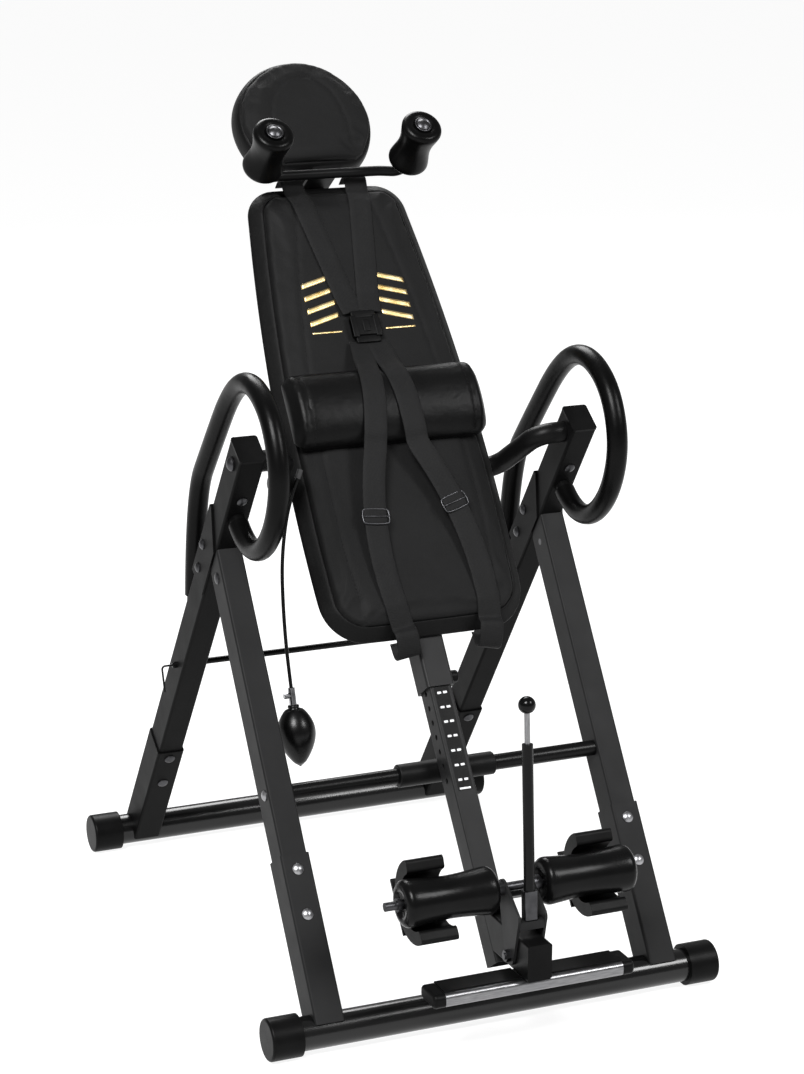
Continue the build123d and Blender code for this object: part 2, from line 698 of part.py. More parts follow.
# ---- head end: post, shoulder bar, headrest ----------------------------------------------------------
post_low, post_high, post_width, post_depth = 400.0, 700.0, 38.0, 6.0
post_front = spine_back - 0.2
bar_s, bar_n, bar_radius = 556.0, 12.0, 8.0
with BuildPart() as head_post:
    block(bed_plane(s=(post_low + post_high) / 2, n=post_front - post_depth), post_width, post_high - post_low,
          post_depth)
    # A shelf carries the shoulder bar over the board's top edge.
    block(bed_plane(s=bar_s + bar_radius + 2.6, n=post_front), post_width + 8, 5, bar_n - post_front)
export(head_post.part, "head_post")

with BuildPart() as shoulder_bar:
    half_route = [(-123, 571, 130), (-122, 549, 18), (-84, bar_s, bar_n)]
    full_route = half_route + [(-x, s, n) for x, s, n in reversed(half_route)]
    sweep_tube([bed_point(*point) for point in full_route], [20.0, 60.0, 60.0, 20.0], bar_radius)
export(shoulder_bar.part, "shoulder_bar")

grip_inner, grip_outer, grip_waist = 8.1, 32.0, 26.5
with BuildPart() as shoulder_grips:
    for side in sides:
        front_end, back_end = bed_point(side * 123, 571, 130), bed_point(side * 122.2, 553.5, 41)
        grip_dir = (back_end - front_end).normalized()
        grip_long = (back_end - front_end).length
        section = Plane(origin=front_end, x_dir=grip_dir, z_dir=grip_dir.cross(Vector(1, 0, 0)))
        with BuildSketch(section):
            with BuildLine():
                Polyline((0, grip_outer), (0, grip_inner), (grip_long, grip_inner), (grip_long, grip_outer))
                ThreePointArc((0, grip_outer), (0.55 * grip_long, grip_waist), (grip_long, grip_outer))
            make_face()
            fillet(vertices().group_by(Axis.Y)[-1], 8)
        revolve(axis=Axis(front_end, grip_dir))
export(shoulder_grips.part, "shoulder_grips")

with BuildPart() as grip_bolts:
    for side in sides:
        front_end, back_end = bed_point(side * 123, 571, 130), bed_point(side * 122.2, 553.5, 41)
        dome_bolt(Plane(origin=front_end, z_dir=(front_end - back_end).normalized()).offset(0.3), 10, 4.5, 4, 0.2)
export(grip_bolts.part, "grip_bolts")

headrest_s, headrest_low, headrest_rise = 672.0, 593.0, 108.0
headrest_front, headrest_back = -15.0, -57.0


def headrest_outline(grow):
    """Round head pad with a flat lower edge, in the current sketch."""
    Ellipse(112 + grow, headrest_rise + grow)
    with Locations((0, headrest_low - headrest_s - 100 - grow)):
        Rectangle(300, 200, mode=Mode.SUBTRACT)
    fillet(vertices().group_by(Axis.Y)[0], 14)


with BuildPart() as headrest_cushion:
    with BuildSketch(bed_plane(s=headrest_s, n=headrest_back)):
        headrest_outline(0)
    extrude(amount=headrest_front - headrest_back)
    fillet(headrest_cushion.faces().sort_by(Axis(bed_point(0, 0, 0), bed_plane().z_dir))[-1].edges(), 12)
export(headrest_cushion.part, "headrest_cushion")

slider_low, slider_high = 610.0, 670.0
with BuildPart() as headrest_plate:
    with BuildSketch(bed_plane(s=headrest_s, n=headrest_back - 5.3)):
        headrest_outline(-12)
    extrude(amount=5)
    slider_front = headrest_back - 5.3
    slider_back = post_front - post_depth - 5
    block(bed_plane(s=(slider_low + slider_high) / 2, n=slider_back), post_width + 12, slider_high - slider_low,
          slider_front - slider_back)
    block(bed_plane(s=(slider_low + slider_high) / 2, n=post_front - post_depth - 0.1), post_width + 0.2, 100,
          post_depth + 0.2, Mode.SUBTRACT)
export(headrest_plate.part, "headrest_plate")

with BuildPart() as headrest_knob:
    knob_plane = bed_plane(s=(slider_low + slider_high) / 2, n=slider_back - 0.2)
    knob_back = Plane(origin=knob_plane.origin, x_dir=(1, 0, 0), z_dir=-knob_plane.z_dir)
    rod(knob_back, 6, 5)
    with BuildSketch(knob_back.offset(5)):
        Circle(15)
        with PolarLocations(16.5, 6):
            Circle(3.5, mode=Mode.SUBTRACT)
    extrude(amount=12)
export(headrest_knob.part, "headrest_knob")

# ---- harness: webbing, buckle and adjusters -------------------------------------------------------------
web_width, web_thickness = 37.0, 2.0
buckle_s = 292.0


def strap(start, end, profile):
    """Webbing from one (x, s) point down to another; the profile lists (s, n) along the way."""
    stretch = ((end[0] - start[0]) ** 2 + (end[1] - start[1]) ** 2) ** 0.5 / (start[1] - end[1])
    along = bed_point(end[0], end[1], 0) - bed_point(start[0], start[1], 0)
    lateral = along.cross(bed_plane().z_dir)
    place = Plane(origin=bed_point(start[0], start[1], 0), x_dir=along, z_dir=lateral)
    with BuildSketch(place) as section:
        with BuildLine():
            Polyline(*[((start[1] - s) * stretch, n) for s, n in profile])
        trace(line_width=web_thickness)
    extrude(section.sketch, amount=web_width / 2, both=True)


pad_middle, pad_half_width = (pad_low + pad_high) / 2, (pad_high - pad_low) / 2
pad_radius = (pad_half_width**2 + pad_rise**2) / (2 * pad_rise)
over_pad = [(pad_middle + (pad_radius + 6.2) * sin(radians(angle)),
             pad_rise - pad_radius + (pad_radius + 3.5) * cos(radians(angle))) for angle in range(66, -67, -22)]
strap_top, strap_end = bar_s - 14, -213.0
upper_profile = [(strap_top, 8.0), (strap_top - 22, 1.6), (buckle_s + 46, 1.6), (buckle_s + 29, 6.0)]
lower_profile = [(buckle_s - 29, 6.0), (buckle_s - 44, 1.8), (pad_high + 12, 1.8)] + over_pad
lower_profile += [(pad_low - 12, 1.8), (-170, 1.8), (-190, 2.4), (-203, -2.0), (strap_end, -16.0)]
with BuildPart() as harness_straps:
    for side in sides:
        strap((side * 58, strap_top), (side * 14, buckle_s + 29), upper_profile)
        strap((side * 14, buckle_s - 29), (side * 82, strap_end), lower_profile)
export(harness_straps.part, "harness_straps")

with BuildPart() as harness_buckles:
    block(bed_plane(s=buckle_s, n=1.2), 50, 50, 12, corner=5.0)
    for side in sides:
        with BuildSketch(bed_plane(x=side * 62, s=-22, n=3.1)):
            RectangleRounded(46, 26, 3)
            Rectangle(36, 7, mode=Mode.SUBTRACT)
        extrude(amount=3.5)
export(harness_buckles.part, "harness_buckles")

# ---- air line for the lumbar pad -------------------------------------------------------------------------
hose_route = [(-172.0, 356.0, 752.0), (-184.0, 351.0, 726.0), (-196.0, 345.0, 685.0), (-205.0, 336.0, 630.0),
              (-208.0, 324.5, 572.0), (-208.5, 311.0, 508.0), (-206.0, 297.0, 446.0)]
hose_points = [(x, front_base_y + y, z) for x, y, z in hose_route]
valve_top, valve_length = hose_points[-1], 26.0
hang_dir = (Vector(*hose_points[-1]) - Vector(*hose_points[-2])).normalized()
valve_plane = Plane(origin=valve_top, x_dir=(1, 0, 0), z_dir=hang_dir)
with BuildPart() as air_hose:
    radii = smooth_radii(hose_points)
    print("hose bend radii", [round(radius) for radius in radii])
    sweep_tube(hose_points, radii, hose_radius)
export(air_hose.part, "air_hose")

with BuildPart() as air_valve:
    rod(valve_plane.offset(0.05), 5.5, valve_length)
    rod(Plane(origin=valve_plane.offset(12).origin, z_dir=(-1, 0, 0)), 4.0, 13)
export(air_valve.part, "air_valve")

bulb_length, bulb_radius = 94.0, 29.0
with BuildPart() as air_bulb:
    bulb_plane = valve_plane.offset(valve_length + 0.1)
    section = Plane(origin=bulb_plane.origin, x_dir=hang_dir, z_dir=hang_dir.cross(Vector(1, 0, 0)))
    with BuildSketch(section):
        with BuildLine():
            Polyline((0, 8), (0, 0), (bulb_length, 0))
            Spline((0, 8), (14, 17), (40, bulb_radius), (74, 22), (bulb_length, 0),
                   tangents=((1, 0.3), (0, -1)))
        make_face()
    revolve(axis=Axis(bulb_plane.origin, hang_dir))
export(air_bulb.part, "air_bulb")

with BuildPart() as hose_fitting:
    fitting_dir = (Vector(*hose_points[0]) - Vector(*hose_points[1])).normalized()
    rod(Plane(origin=hose_points[0], z_dir=fitting_dir).offset(0.05), 4.5, 14)
export(hose_fitting.part, "hose_fitting")
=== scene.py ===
"""Looks of the inversion table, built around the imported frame. Metres, +Z up, -Y towards the foot end."""

import json
from math import asin, atan, cos, exp, hypot, pi, radians, sin, sqrt

import bmesh
import bpy
from mathutils import Matrix, Vector
from mathutils.bvhtree import BVHTree


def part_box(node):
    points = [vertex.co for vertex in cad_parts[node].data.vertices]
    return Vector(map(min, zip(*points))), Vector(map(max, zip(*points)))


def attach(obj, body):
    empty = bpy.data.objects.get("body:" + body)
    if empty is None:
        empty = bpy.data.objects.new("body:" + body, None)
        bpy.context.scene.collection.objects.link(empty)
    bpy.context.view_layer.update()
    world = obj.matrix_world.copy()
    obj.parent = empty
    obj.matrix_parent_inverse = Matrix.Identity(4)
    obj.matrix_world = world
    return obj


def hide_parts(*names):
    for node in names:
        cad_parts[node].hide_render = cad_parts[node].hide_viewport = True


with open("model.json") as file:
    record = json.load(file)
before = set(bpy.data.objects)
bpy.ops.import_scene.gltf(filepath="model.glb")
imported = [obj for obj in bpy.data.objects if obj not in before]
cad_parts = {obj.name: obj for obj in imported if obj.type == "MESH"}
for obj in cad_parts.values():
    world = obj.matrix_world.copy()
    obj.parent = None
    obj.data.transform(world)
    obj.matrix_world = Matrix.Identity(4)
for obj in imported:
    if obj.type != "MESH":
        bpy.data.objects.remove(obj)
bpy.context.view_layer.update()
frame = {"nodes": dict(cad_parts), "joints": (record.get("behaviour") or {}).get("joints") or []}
nodes = frame["nodes"]
joints = {joint["name"]: joint for joint in frame["joints"]}

# ---- places taken from the frame -----------------------------------------------------------------
BED_TILT = radians(36)
PIVOT_S, PIVOT_N = 0.062, 0.076          # the tilt pivot in the bed's own frame
BED_UP = Vector((0, sin(BED_TILT), cos(BED_TILT)))
BED_OUT = Vector((0, -cos(BED_TILT), sin(BED_TILT)))
pivot = Vector(joints["bed_tilt"]["pos_m"])
bed_origin = pivot - BED_UP * PIVOT_S - BED_OUT * PIVOT_N
BED = Matrix.Translation(bed_origin) @ Matrix((Vector((1, 0, 0)), BED_UP, BED_OUT)).transposed().to_4x4()
SHAFT = Vector(joints["roller_left_spin"]["pos_m"])
SIDES = (-1, 1)
NAMED_SIDES = ((-1, "left"), (1, "right"))


def bed_box(node):
    """Lowest and highest corner of a CAD node in the bed's frame: x across, s up the bed, n out of it."""
    inverse = BED.inverted()
    points = [inverse @ vertex.co for vertex in nodes[node].data.vertices]
    low = Vector([min(point[axis] for point in points) for axis in range(3)])
    high = Vector([max(point[axis] for point in points) for axis in range(3)])
    return low, high


def bed_world(x, s, n):
    return BED @ Vector((x, s, n))


# ---- camera, light and floor ---------------------------------------------------------------------
CAMERA_PLACE = (-1.605, -3.7215, 1.792)
CAMERA_YAW, CAMERA_PITCH, CAMERA_ROLL = radians(-23.364), radians(15.859), radians(0.411)
LENS, SENSOR = 92.43, 36.0               # millimetres
FLOOR_REACH = 60.0
FLOOR_GAP = 0.0005                       # how far the floor lies below the base caps


def add_camera():
    yaw, pitch, roll = CAMERA_YAW, CAMERA_PITCH, CAMERA_ROLL
    back = Vector((sin(yaw) * cos(pitch), -cos(yaw) * cos(pitch), sin(pitch)))
    right = Vector((cos(yaw), sin(yaw), 0))
    up = back.cross(right)
    turned_right = cos(roll) * right + sin(roll) * up
    turned_up = cos(roll) * up - sin(roll) * right
    camera = bpy.data.objects.new("camera", bpy.data.cameras.new("camera"))
    camera.data.sensor_width = SENSOR
    camera.data.lens = LENS
    camera.data.clip_end = 200.0
    place = Matrix((turned_right, turned_up, back)).transposed().to_4x4()
    camera.matrix_world = Matrix.Translation(CAMERA_PLACE) @ place
    bpy.context.scene.collection.objects.link(camera)
    bpy.context.scene.camera = camera


def add_area_light(name, place, target, size, energy):
    data = bpy.data.lights.new(name, "AREA")
    data.shape = "DISK"
    data.size = size
    data.energy = energy
    light = bpy.data.objects.new(name, data)
    light.location = place
    light.rotation_mode = "QUATERNION"
    light.rotation_quaternion = (Vector(target) - Vector(place)).to_track_quat("-Z", "Y")
    bpy.context.scene.collection.objects.link(light)


def add_studio():
    scene = bpy.context.scene
    scene.view_settings.view_transform = "Standard"
    world = bpy.data.worlds.new("studio")
    world.use_nodes = True
    world.node_tree.nodes["Background"].inputs["Color"].default_value = (1.0, 1.0, 1.0, 1.0)
    world.node_tree.nodes["Background"].inputs["Strength"].default_value = 0.30
    scene.world = world
    middle = (0.0, 0.0, 0.7)
    add_area_light("key_light", (-2.6, -2.8, 4.4), middle, 2.2, 480)
    add_area_light("side_light", (2.6, -3.2, 3.6), middle, 1.6, 150)
    add_area_light("back_light", (0.6, 3.4, 3.8), middle, 2.6, 210)

    floor_mesh = bpy.data.meshes.new("floor")
    corners = [(-FLOOR_REACH, -FLOOR_REACH, 0), (FLOOR_REACH, -FLOOR_REACH, 0),
               (FLOOR_REACH, FLOOR_REACH, 0), (-FLOOR_REACH, FLOOR_REACH, 0)]
    floor_mesh.from_pydata(corners, [], [(0, 1, 2, 3)])
    floor = bpy.data.objects.new("floor", floor_mesh)
    floor.location.z = -FLOOR_GAP
    paint = bpy.data.materials.new("floor_paint")
    paint.use_nodes = True
    shader = paint.node_tree.nodes["Principled BSDF"]
    shader.inputs["Base Color"].default_value = (0.25, 0.25, 0.25, 1)
    shader.inputs["Roughness"].default_value = 0.85
    shader.inputs["Specular IOR Level"].default_value = 0.0
    shader.inputs["Emission Color"].default_value = (1, 1, 1, 1)
    shader.inputs["Emission Strength"].default_value = 0.88
    floor_mesh.materials.append(paint)
    scene.collection.objects.link(floor)


# ---- materials -----------------------------------------------------------------------------------
class Surface:
    """A node-based material: patterns in the piece's own coordinates feed its colour, roughness and bump."""

    def __init__(self, name, roughness=0.5, metallic=0.0, **sockets):
        self.material = bpy.data.materials.new(name)
        self.material.use_nodes = True
        self.tree = self.material.node_tree
        self.shader = self.tree.nodes["Principled BSDF"]
        self.shader.inputs["Roughness"].default_value = roughness
        self.shader.inputs["Metallic"].default_value = metallic
        for socket, value in sockets.items():
            self.shader.inputs[socket.replace("_", " ")].default_value = value
        self.coordinates = self.tree.nodes.new("ShaderNodeTexCoord").outputs["Object"]
        self.height = None

    def link(self, source, target):
        self.tree.links.new(source, target)

    def noise(self, scale, detail=3.0, stretch=(1, 1, 1)):
        mapping = self.tree.nodes.new("ShaderNodeMapping")
        mapping.inputs["Scale"].default_value = stretch
        texture = self.tree.nodes.new("ShaderNodeTexNoise")
        texture.inputs["Scale"].default_value = scale
        texture.inputs["Detail"].default_value = detail
        self.link(self.coordinates, mapping.inputs["Vector"])
        self.link(mapping.outputs["Vector"], texture.inputs["Vector"])
        return texture.outputs["Fac"]

    def bands(self, direction, period):
        """Even ridges across one direction, one per period; a wave of scale 1 has a period of pi / 10."""
        texture = self.tree.nodes.new("ShaderNodeTexWave")
        texture.bands_direction = direction
        texture.inputs["Scale"].default_value = 2 * pi / (20 * period)
        self.link(self.coordinates, texture.inputs["Vector"])
        return texture.outputs["Fac"]

    def math(self, operation, first, second):
        node = self.tree.nodes.new("ShaderNodeMath")
        node.operation = operation
        for value, socket in ((first, node.inputs[0]), (second, node.inputs[1])):
            if isinstance(value, float):
                socket.default_value = value
            else:
                self.link(value, socket)
        return node.outputs["Value"]

    def colours(self, pattern, dark, light, start=0.3, end=0.7):
        ramp = self.tree.nodes.new("ShaderNodeValToRGB")
        low, high = ramp.color_ramp.elements
        low.position, low.color = start, (*dark, 1)
        high.position, high.color = end, (*light, 1)
        self.link(pattern, ramp.inputs["Fac"])
        self.link(ramp.outputs["Color"], self.shader.inputs["Base Color"])

    def roughnesses(self, pattern, low, high):
        spread = self.tree.nodes.new("ShaderNodeMapRange")
        spread.inputs["To Min"].default_value = low
        spread.inputs["To Max"].default_value = high
        self.link(pattern, spread.inputs["Value"])
        self.link(spread.outputs["Result"], self.shader.inputs["Roughness"])

    def bump(self, pattern, height):
        """Adds relief; several calls stack on each other."""
        node = self.tree.nodes.new("ShaderNodeBump")
        node.inputs["Strength"].default_value = 1.0
        node.inputs["Distance"].default_value = height
        self.link(pattern, node.inputs["Height"])
        if self.height:
            self.link(self.height, node.inputs["Normal"])
        self.height = node.outputs["Normal"]
        self.link(self.height, self.shader.inputs["Normal"])


def grey(value):
    return value, value, value * 1.02


def paint(name, dark, light, roughness, gloss, grain):
    """Sprayed or powder-coated metal: fine grain, slight scuffs."""
    surface = Surface(name, roughness, Specular_IOR_Level=gloss)
    surface.colours(surface.noise(8, 6), grey(dark), grey(light))
    surface.roughnesses(surface.noise(30, 6), roughness - 0.07, roughness + 0.07)
    surface.bump(surface.noise(1200, 3), grain)
    return surface.material


def plastic(name, dark, light, roughness, gloss=0.35):
    surface = Surface(name, roughness, Specular_IOR_Level=gloss)
    surface.colours(surface.noise(20, 4), grey(dark), grey(light))
    surface.roughnesses(surface.noise(60, 4), roughness - 0.05, roughness + 0.08)
    surface.bump(surface.noise(1800, 2), 0.00004)
    return surface.material


def foam(name, dark, light, roughness, gloss):
    """Skinned closed-cell foam: soft sheen, fine cells, faint swirls."""
    surface = Surface(name, roughness, Specular_IOR_Level=gloss)
    surface.colours(surface.noise(16, 5), grey(dark), grey(light))
    surface.roughnesses(surface.noise(35, 5), roughness - 0.06, roughness + 0.08)
    surface.bump(surface.noise(700, 4), 0.00008)
    surface.bump(surface.noise(60, 3), 0.0003)
    return surface.material


def metal(name, dark, light, roughness, streak=(1, 1, 1)):
    surface = Surface(name, roughness, 1.0)
    surface.colours(surface.noise(60, 5, streak), dark, light)
    surface.roughnesses(surface.noise(120, 4, streak), roughness - 0.08, roughness + 0.1)
    surface.bump(surface.noise(700, 3, streak), 0.00003)
    return surface.material


def woven(name, dark, light, roughness, thread, relief, gloss=0.1, sheen=0.02):
    """Plain weave: threads both ways in the piece's own x and y."""
    surface = Surface(name, roughness, Specular_IOR_Level=gloss, Sheen_Weight=sheen, Sheen_Roughness=0.45)
    over, under = surface.bands("X", thread), surface.bands("Y", thread)
    weave = surface.math("MULTIPLY", over, under)
    blotches = surface.noise(11, 6)
    tone = surface.math("ADD", surface.math("MULTIPLY", weave, 0.35),
                        surface.math("MULTIPLY", blotches, 0.75))
    surface.colours(tone, grey(dark), grey(light), 0.2, 0.8)
    surface.roughnesses(surface.noise(30, 4), roughness - 0.06, roughness + 0.06)
    surface.bump(surface.noise(70, 4), 0.0007)
    surface.bump(weave, relief)
    return surface.material


leg_paint = paint("leg_paint", 0.009, 0.012, 0.45, 0.06, 0.00005)
# The same paint as leg_paint, made darker: painted shade for the rear legs and hinge brackets, which stand
# in shade.
rear_leg_paint_painted_shade = paint("rear_leg_paint_painted_shade", 0.0025, 0.0040, 0.45, 0.035, 0.00005)
boom_paint = paint("boom_paint", 0.011, 0.014, 0.42, 0.08, 0.00005)
frame_paint = paint("frame_paint", 0.0018, 0.0035, 0.38, 0.08, 0.00005)
gloss_paint = paint("gloss_paint", 0.0015, 0.003, 0.20, 0.35, 0.00002)
satin_paint = paint("satin_paint", 0.0015, 0.003, 0.28, 0.12, 0.00002)
black_plastic = plastic("black_plastic", 0.0015, 0.003, 0.38, 0.07)
grey_plastic = plastic("grey_plastic", 0.03, 0.04, 0.45, 0.2)
knob_plastic = plastic("knob_plastic", 0.001, 0.002, 0.16, 0.14)
bulb_rubber = plastic("bulb_rubber", 0.0008, 0.002, 0.26, 0.18)
moulded_rubber = plastic("moulded_rubber", 0.001, 0.003, 0.45, 0.10)
grip_foam = foam("grip_foam", 0.0008, 0.0016, 0.30, 0.08)
roller_foam = foam("roller_foam", 0.0015, 0.003, 0.24, 0.10)
zinc = metal("zinc_steel", (0.24, 0.24, 0.25), (0.36, 0.36, 0.37), 0.34)
dark_zinc = metal("dark_zinc", (0.04, 0.04, 0.042), (0.08, 0.08, 0.085), 0.35)
lever_steel = metal("lever_steel", (0.16, 0.16, 0.165), (0.26, 0.26, 0.265), 0.3, (8, 8, 1))
chrome = metal("valve_chrome", (0.22, 0.22, 0.23), (0.36, 0.36, 0.37), 0.18)
aluminium = metal("footrest_metal", (0.15, 0.15, 0.155), (0.24, 0.24, 0.245), 0.3, (1, 12, 12))
gold = metal("gold_print", (0.62, 0.42, 0.14), (0.90, 0.74, 0.42), 0.4)
cushion_fabric = woven("cushion_fabric", 0.0036, 0.0060, 0.62, 0.0012, 0.00010)
# The cushion fabric made darker for the borders: painted shade on the cushions' sides.
side_fabric_painted_shade = woven("side_fabric_painted_shade", 0.0012, 0.0024, 0.50, 0.0012, 0.00010)
roll_fabric = woven("roll_fabric", 0.0012, 0.0028, 0.38, 0.0012, 0.00006, 0.10, 0.0)
webbing = woven("webbing", 0.0046, 0.0080, 0.6, 0.0022, 0.00025)
thread = plastic("stitch_thread", 0.003, 0.007, 0.6, 0.1)
board_wood = plastic("board_wood", 0.004, 0.007, 0.6, 0.1)
white_print = plastic("white_print", 0.50, 0.60, 0.5)

CAD_LOOKS = {
    leg_paint: ["front_leg_sockets", "front_leg_left", "front_leg_right"],
    # Rear legs and hinge brackets take the leg paint darkened as painted shade.
    rear_leg_paint_painted_shade: ["rear_leg_sockets", "rear_leg_left", "rear_leg_right", "hinge_brackets"],
    boom_paint: ["boom_tube", "boom_sleeve", "ankle_arm"],
    frame_paint: ["pivot_tube", "spine_tube", "head_post", "shoulder_bar", "heel_bar", "headrest_plate",
                  "foot_tube"],
    gloss_paint: ["rear_base_tube", "front_base_tube"],
    satin_paint: ["handle_tubes", "cross_tube", "lever_tube", "angle_limit_bar", "limit_bar_clip"],
    black_plastic: ["rear_base_caps", "front_base_caps", "post_caps", "foot_end_caps", "height_pin",
                    "headrest_knob", "pivot_bushes", "scale_strip"],
    grey_plastic: ["hose_fitting"],
    moulded_rubber: ["heel_pads", "cross_tube_sleeve", "footrest_tread"],
    zinc: ["front_leg_bolts"],
    dark_zinc: ["rear_leg_bolts", "hinge_pins", "pivot_bolts", "grip_bolts", "ankle_pivot_bolt",
                "roller_shaft", "lever_clevis"],
    lever_steel: ["pull_rod"],
    knob_plastic: ["pull_knob"],
    chrome: ["air_valve"],
    aluminium: ["footrest"],
    board_wood: ["back_board"],
}


def dress_cad_nodes():
    for material, names in CAD_LOOKS.items():
        for name in names:
            nodes[name].data.materials.clear()
            nodes[name].data.materials.append(material)


# ---- piece helpers -------------------------------------------------------------------------------
def add_piece(name, mesh, material, body, place=None, replaces=(), smooth=True):
    piece = bpy.data.objects.new(name, mesh)
    bpy.context.scene.collection.objects.link(piece)
    if place is not None:
        piece.matrix_world = place
    mesh.materials.append(material)
    if smooth:
        for polygon in mesh.polygons:
            polygon.use_smooth = True
    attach(piece, body)
    if replaces:
        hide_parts(*replaces)
    return piece


def mesh_of(name, bm):
    bmesh.ops.recalc_face_normals(bm, faces=bm.faces)
    mesh = bpy.data.meshes.new(name)
    bm.to_mesh(mesh)
    bm.free()
    return mesh


def lathe(name, profile, place, steps=64):
    """Solid of revolution; its profile lists (distance along local z, radius), and place sets it."""
    bm = bmesh.new()
    rings = []
    for along, radius in profile:
        if radius < 1e-6:
            rings.append([bm.verts.new((0, 0, along))])
        else:
            turns = [2 * pi * step / steps for step in range(steps)]
            rings.append([bm.verts.new((radius * cos(turn), radius * sin(turn), along)) for turn in turns])
    for ring, following in zip(rings, rings[1:]):
        for step in range(steps):
            corners = [ring[step % len(ring)], ring[(step + 1) % len(ring)],
                       following[(step + 1) % len(following)], following[step % len(following)]]
            unique = list(dict.fromkeys(corners))
            if len(unique) > 2:
                bm.faces.new(unique)
    mesh = mesh_of(name, bm)
    mesh.transform(place)
    return mesh


def axis_place(origin, direction):
    """Frame whose local z runs along a direction."""
    return Matrix.Translation(origin) @ Vector(direction).to_track_quat("Z", "Y").to_matrix().to_4x4()


def nurbs(name, points, radius, closed=False, resolution=12):
    """Smooth tube whose centreline has these control points."""
    curve = bpy.data.curves.new(name, "CURVE")
    curve.dimensions = "3D"
    curve.bevel_depth = radius
    curve.bevel_resolution = 6
    curve.resolution_u = resolution
    curve.use_fill_caps = True
    spline = curve.splines.new("NURBS")
    spline.points.add(len(points) - 1)
    for control, point in zip(spline.points, points):
        control.co = (*point, 1)
    spline.order_u = 3
    spline.use_endpoint_u = not closed
    spline.use_cyclic_u = closed
    return curve


def catmull(points, per_run):
    """Points on a smooth line through the ones given."""
    padded = [points[0] * 2 - points[1]] + points + [points[-1] * 2 - points[-2]]
    line = []
    for a, b, c, d in zip(padded, padded[1:], padded[2:], padded[3:]):
        for step in range(per_run):
            t = step / per_run
            line.append(0.5 * (2 * b + (c - a) * t + (2 * a - 5 * b + 4 * c - d) * t * t
                               + (3 * b - a - 3 * c + d) * t * t * t))
    return line + [points[-1]]


# ---- air line ------------------------------------------------------------------------------------
HOSE_ROUTE = [(-0.172, -0.0095, 0.752), (-0.184, -0.0145, 0.726), (-0.196, -0.0205, 0.685),
              (-0.205, -0.0295, 0.630), (-0.208, -0.0410, 0.572), (-0.2085, -0.0545, 0.508),
              (-0.206, -0.0685, 0.446)]
HOSE_INSERT = 0.010                      # how far the hose runs on inside the valve
VALVE_LENGTH = 0.0261                    # from the hose's end to the bulb's neck
BULB_LENGTH, BULB_RADIUS = 0.094, 0.029


def add_air_line():
    hang = (Vector(HOSE_ROUTE[-1]) - Vector(HOSE_ROUTE[-2])).normalized()
    curve = nurbs("hose", HOSE_ROUTE + [Vector(HOSE_ROUTE[-1]) + hang * HOSE_INSERT], 0.0028)
    hose = bpy.data.objects.new("hose", curve)
    curve.materials.append(bulb_rubber)
    bpy.context.scene.collection.objects.link(hose)
    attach(hose, "bed")
    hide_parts("air_hose")

    neck = Vector(HOSE_ROUTE[-1]) + hang * VALVE_LENGTH
    body = [(t * BULB_LENGTH, BULB_RADIUS * bulb_radius(t)) for t in [step / 40 for step in range(41)]]
    profile = [(0.0, 0.0), (0.0, 0.0082), (0.003, 0.0090), (0.0045, 0.0078)]
    profile += [(along, radius) for along, radius in body if along > 0.006 and radius > 0.0085]
    profile += [(BULB_LENGTH, 0.0)]
    bulb = add_piece("squeeze_bulb", lathe("squeeze_bulb", profile, axis_place(neck, hang)), bulb_rubber,
                     "bed", replaces=["air_bulb"])


def bulb_radius(t):
    """Pear shape: slim at the neck, widest just past the middle."""
    return (sin(pi * t ** 0.82)) ** 0.62 * (0.86 + 0.14 * sin(pi * t)) if 0 < t < 1 else 0.0


# ---- padded pieces -------------------------------------------------------------------------------
def side_arc(low, high, bottom_half, middle_half, top_half, steps=18):
    """Points up one side of the board: the circle through its three half widths."""
    middle = (low + high) / 2
    chord_half = (high - low) / 2
    sag = middle_half - (bottom_half + top_half) / 2
    points = []
    for step in range(steps + 1):
        s = low + (high - low) * step / steps
        u = (s - middle) / chord_half
        points.append((bottom_half + (top_half - bottom_half) * (u + 1) / 2 + sag * (1 - u * u), s))
    return points


BED_HALF_WIDTHS = (0.160, 0.1612, 0.124)         # at the foot, in the middle and at the head
BED_CORNERS = (0.066, 0.048)


def bed_outline(shrink=0.0):
    """The bed's outline, counter-clockwise, in the bed's frame."""
    low, high = bed_box("back_cushion")
    side = side_arc(low.y + shrink, high.y - shrink, *(half - shrink for half in BED_HALF_WIDTHS))
    return rounded(side, *(radius - shrink for radius in BED_CORNERS))


def offset_ring(outline, distance):
    """The outline moved outwards by a distance, point by point."""
    ring = []
    for before, point, after in zip(outline[-1:] + outline[:-1], outline, outline[1:] + outline[:1]):
        run = Vector((after[0] - before[0], after[1] - before[1])).normalized()
        ring.append((point[0] + run.y * distance, point[1] - run.x * distance))
    return ring


def side_band(name, outline, section, body):
    """Upholstered border swept round an outline; the section lists (distance outwards, height)."""
    bm = bmesh.new()
    rings = [[bm.verts.new((x, s, height)) for x, s in offset_ring(outline, out)] for out, height in section]
    for ring, following in zip(rings, rings[1:] + rings[:1]):
        for index in range(len(ring)):
            after = (index + 1) % len(ring)
            bm.faces.new((ring[index], ring[after], following[after], following[index]))
    # The border takes the darker fabric, which paints shade on the sides.
    band = add_piece(name, mesh_of(name, bm), side_fabric_painted_shade, body, BED)
    subdivide(band)


def half_at(side, s):
    for (x0, s0), (x1, s1) in zip(side, side[1:]):
        if s0 <= s <= s1:
            return x0 + (x1 - x0) * (s - s0) / (s1 - s0)
    return side[-1][0]


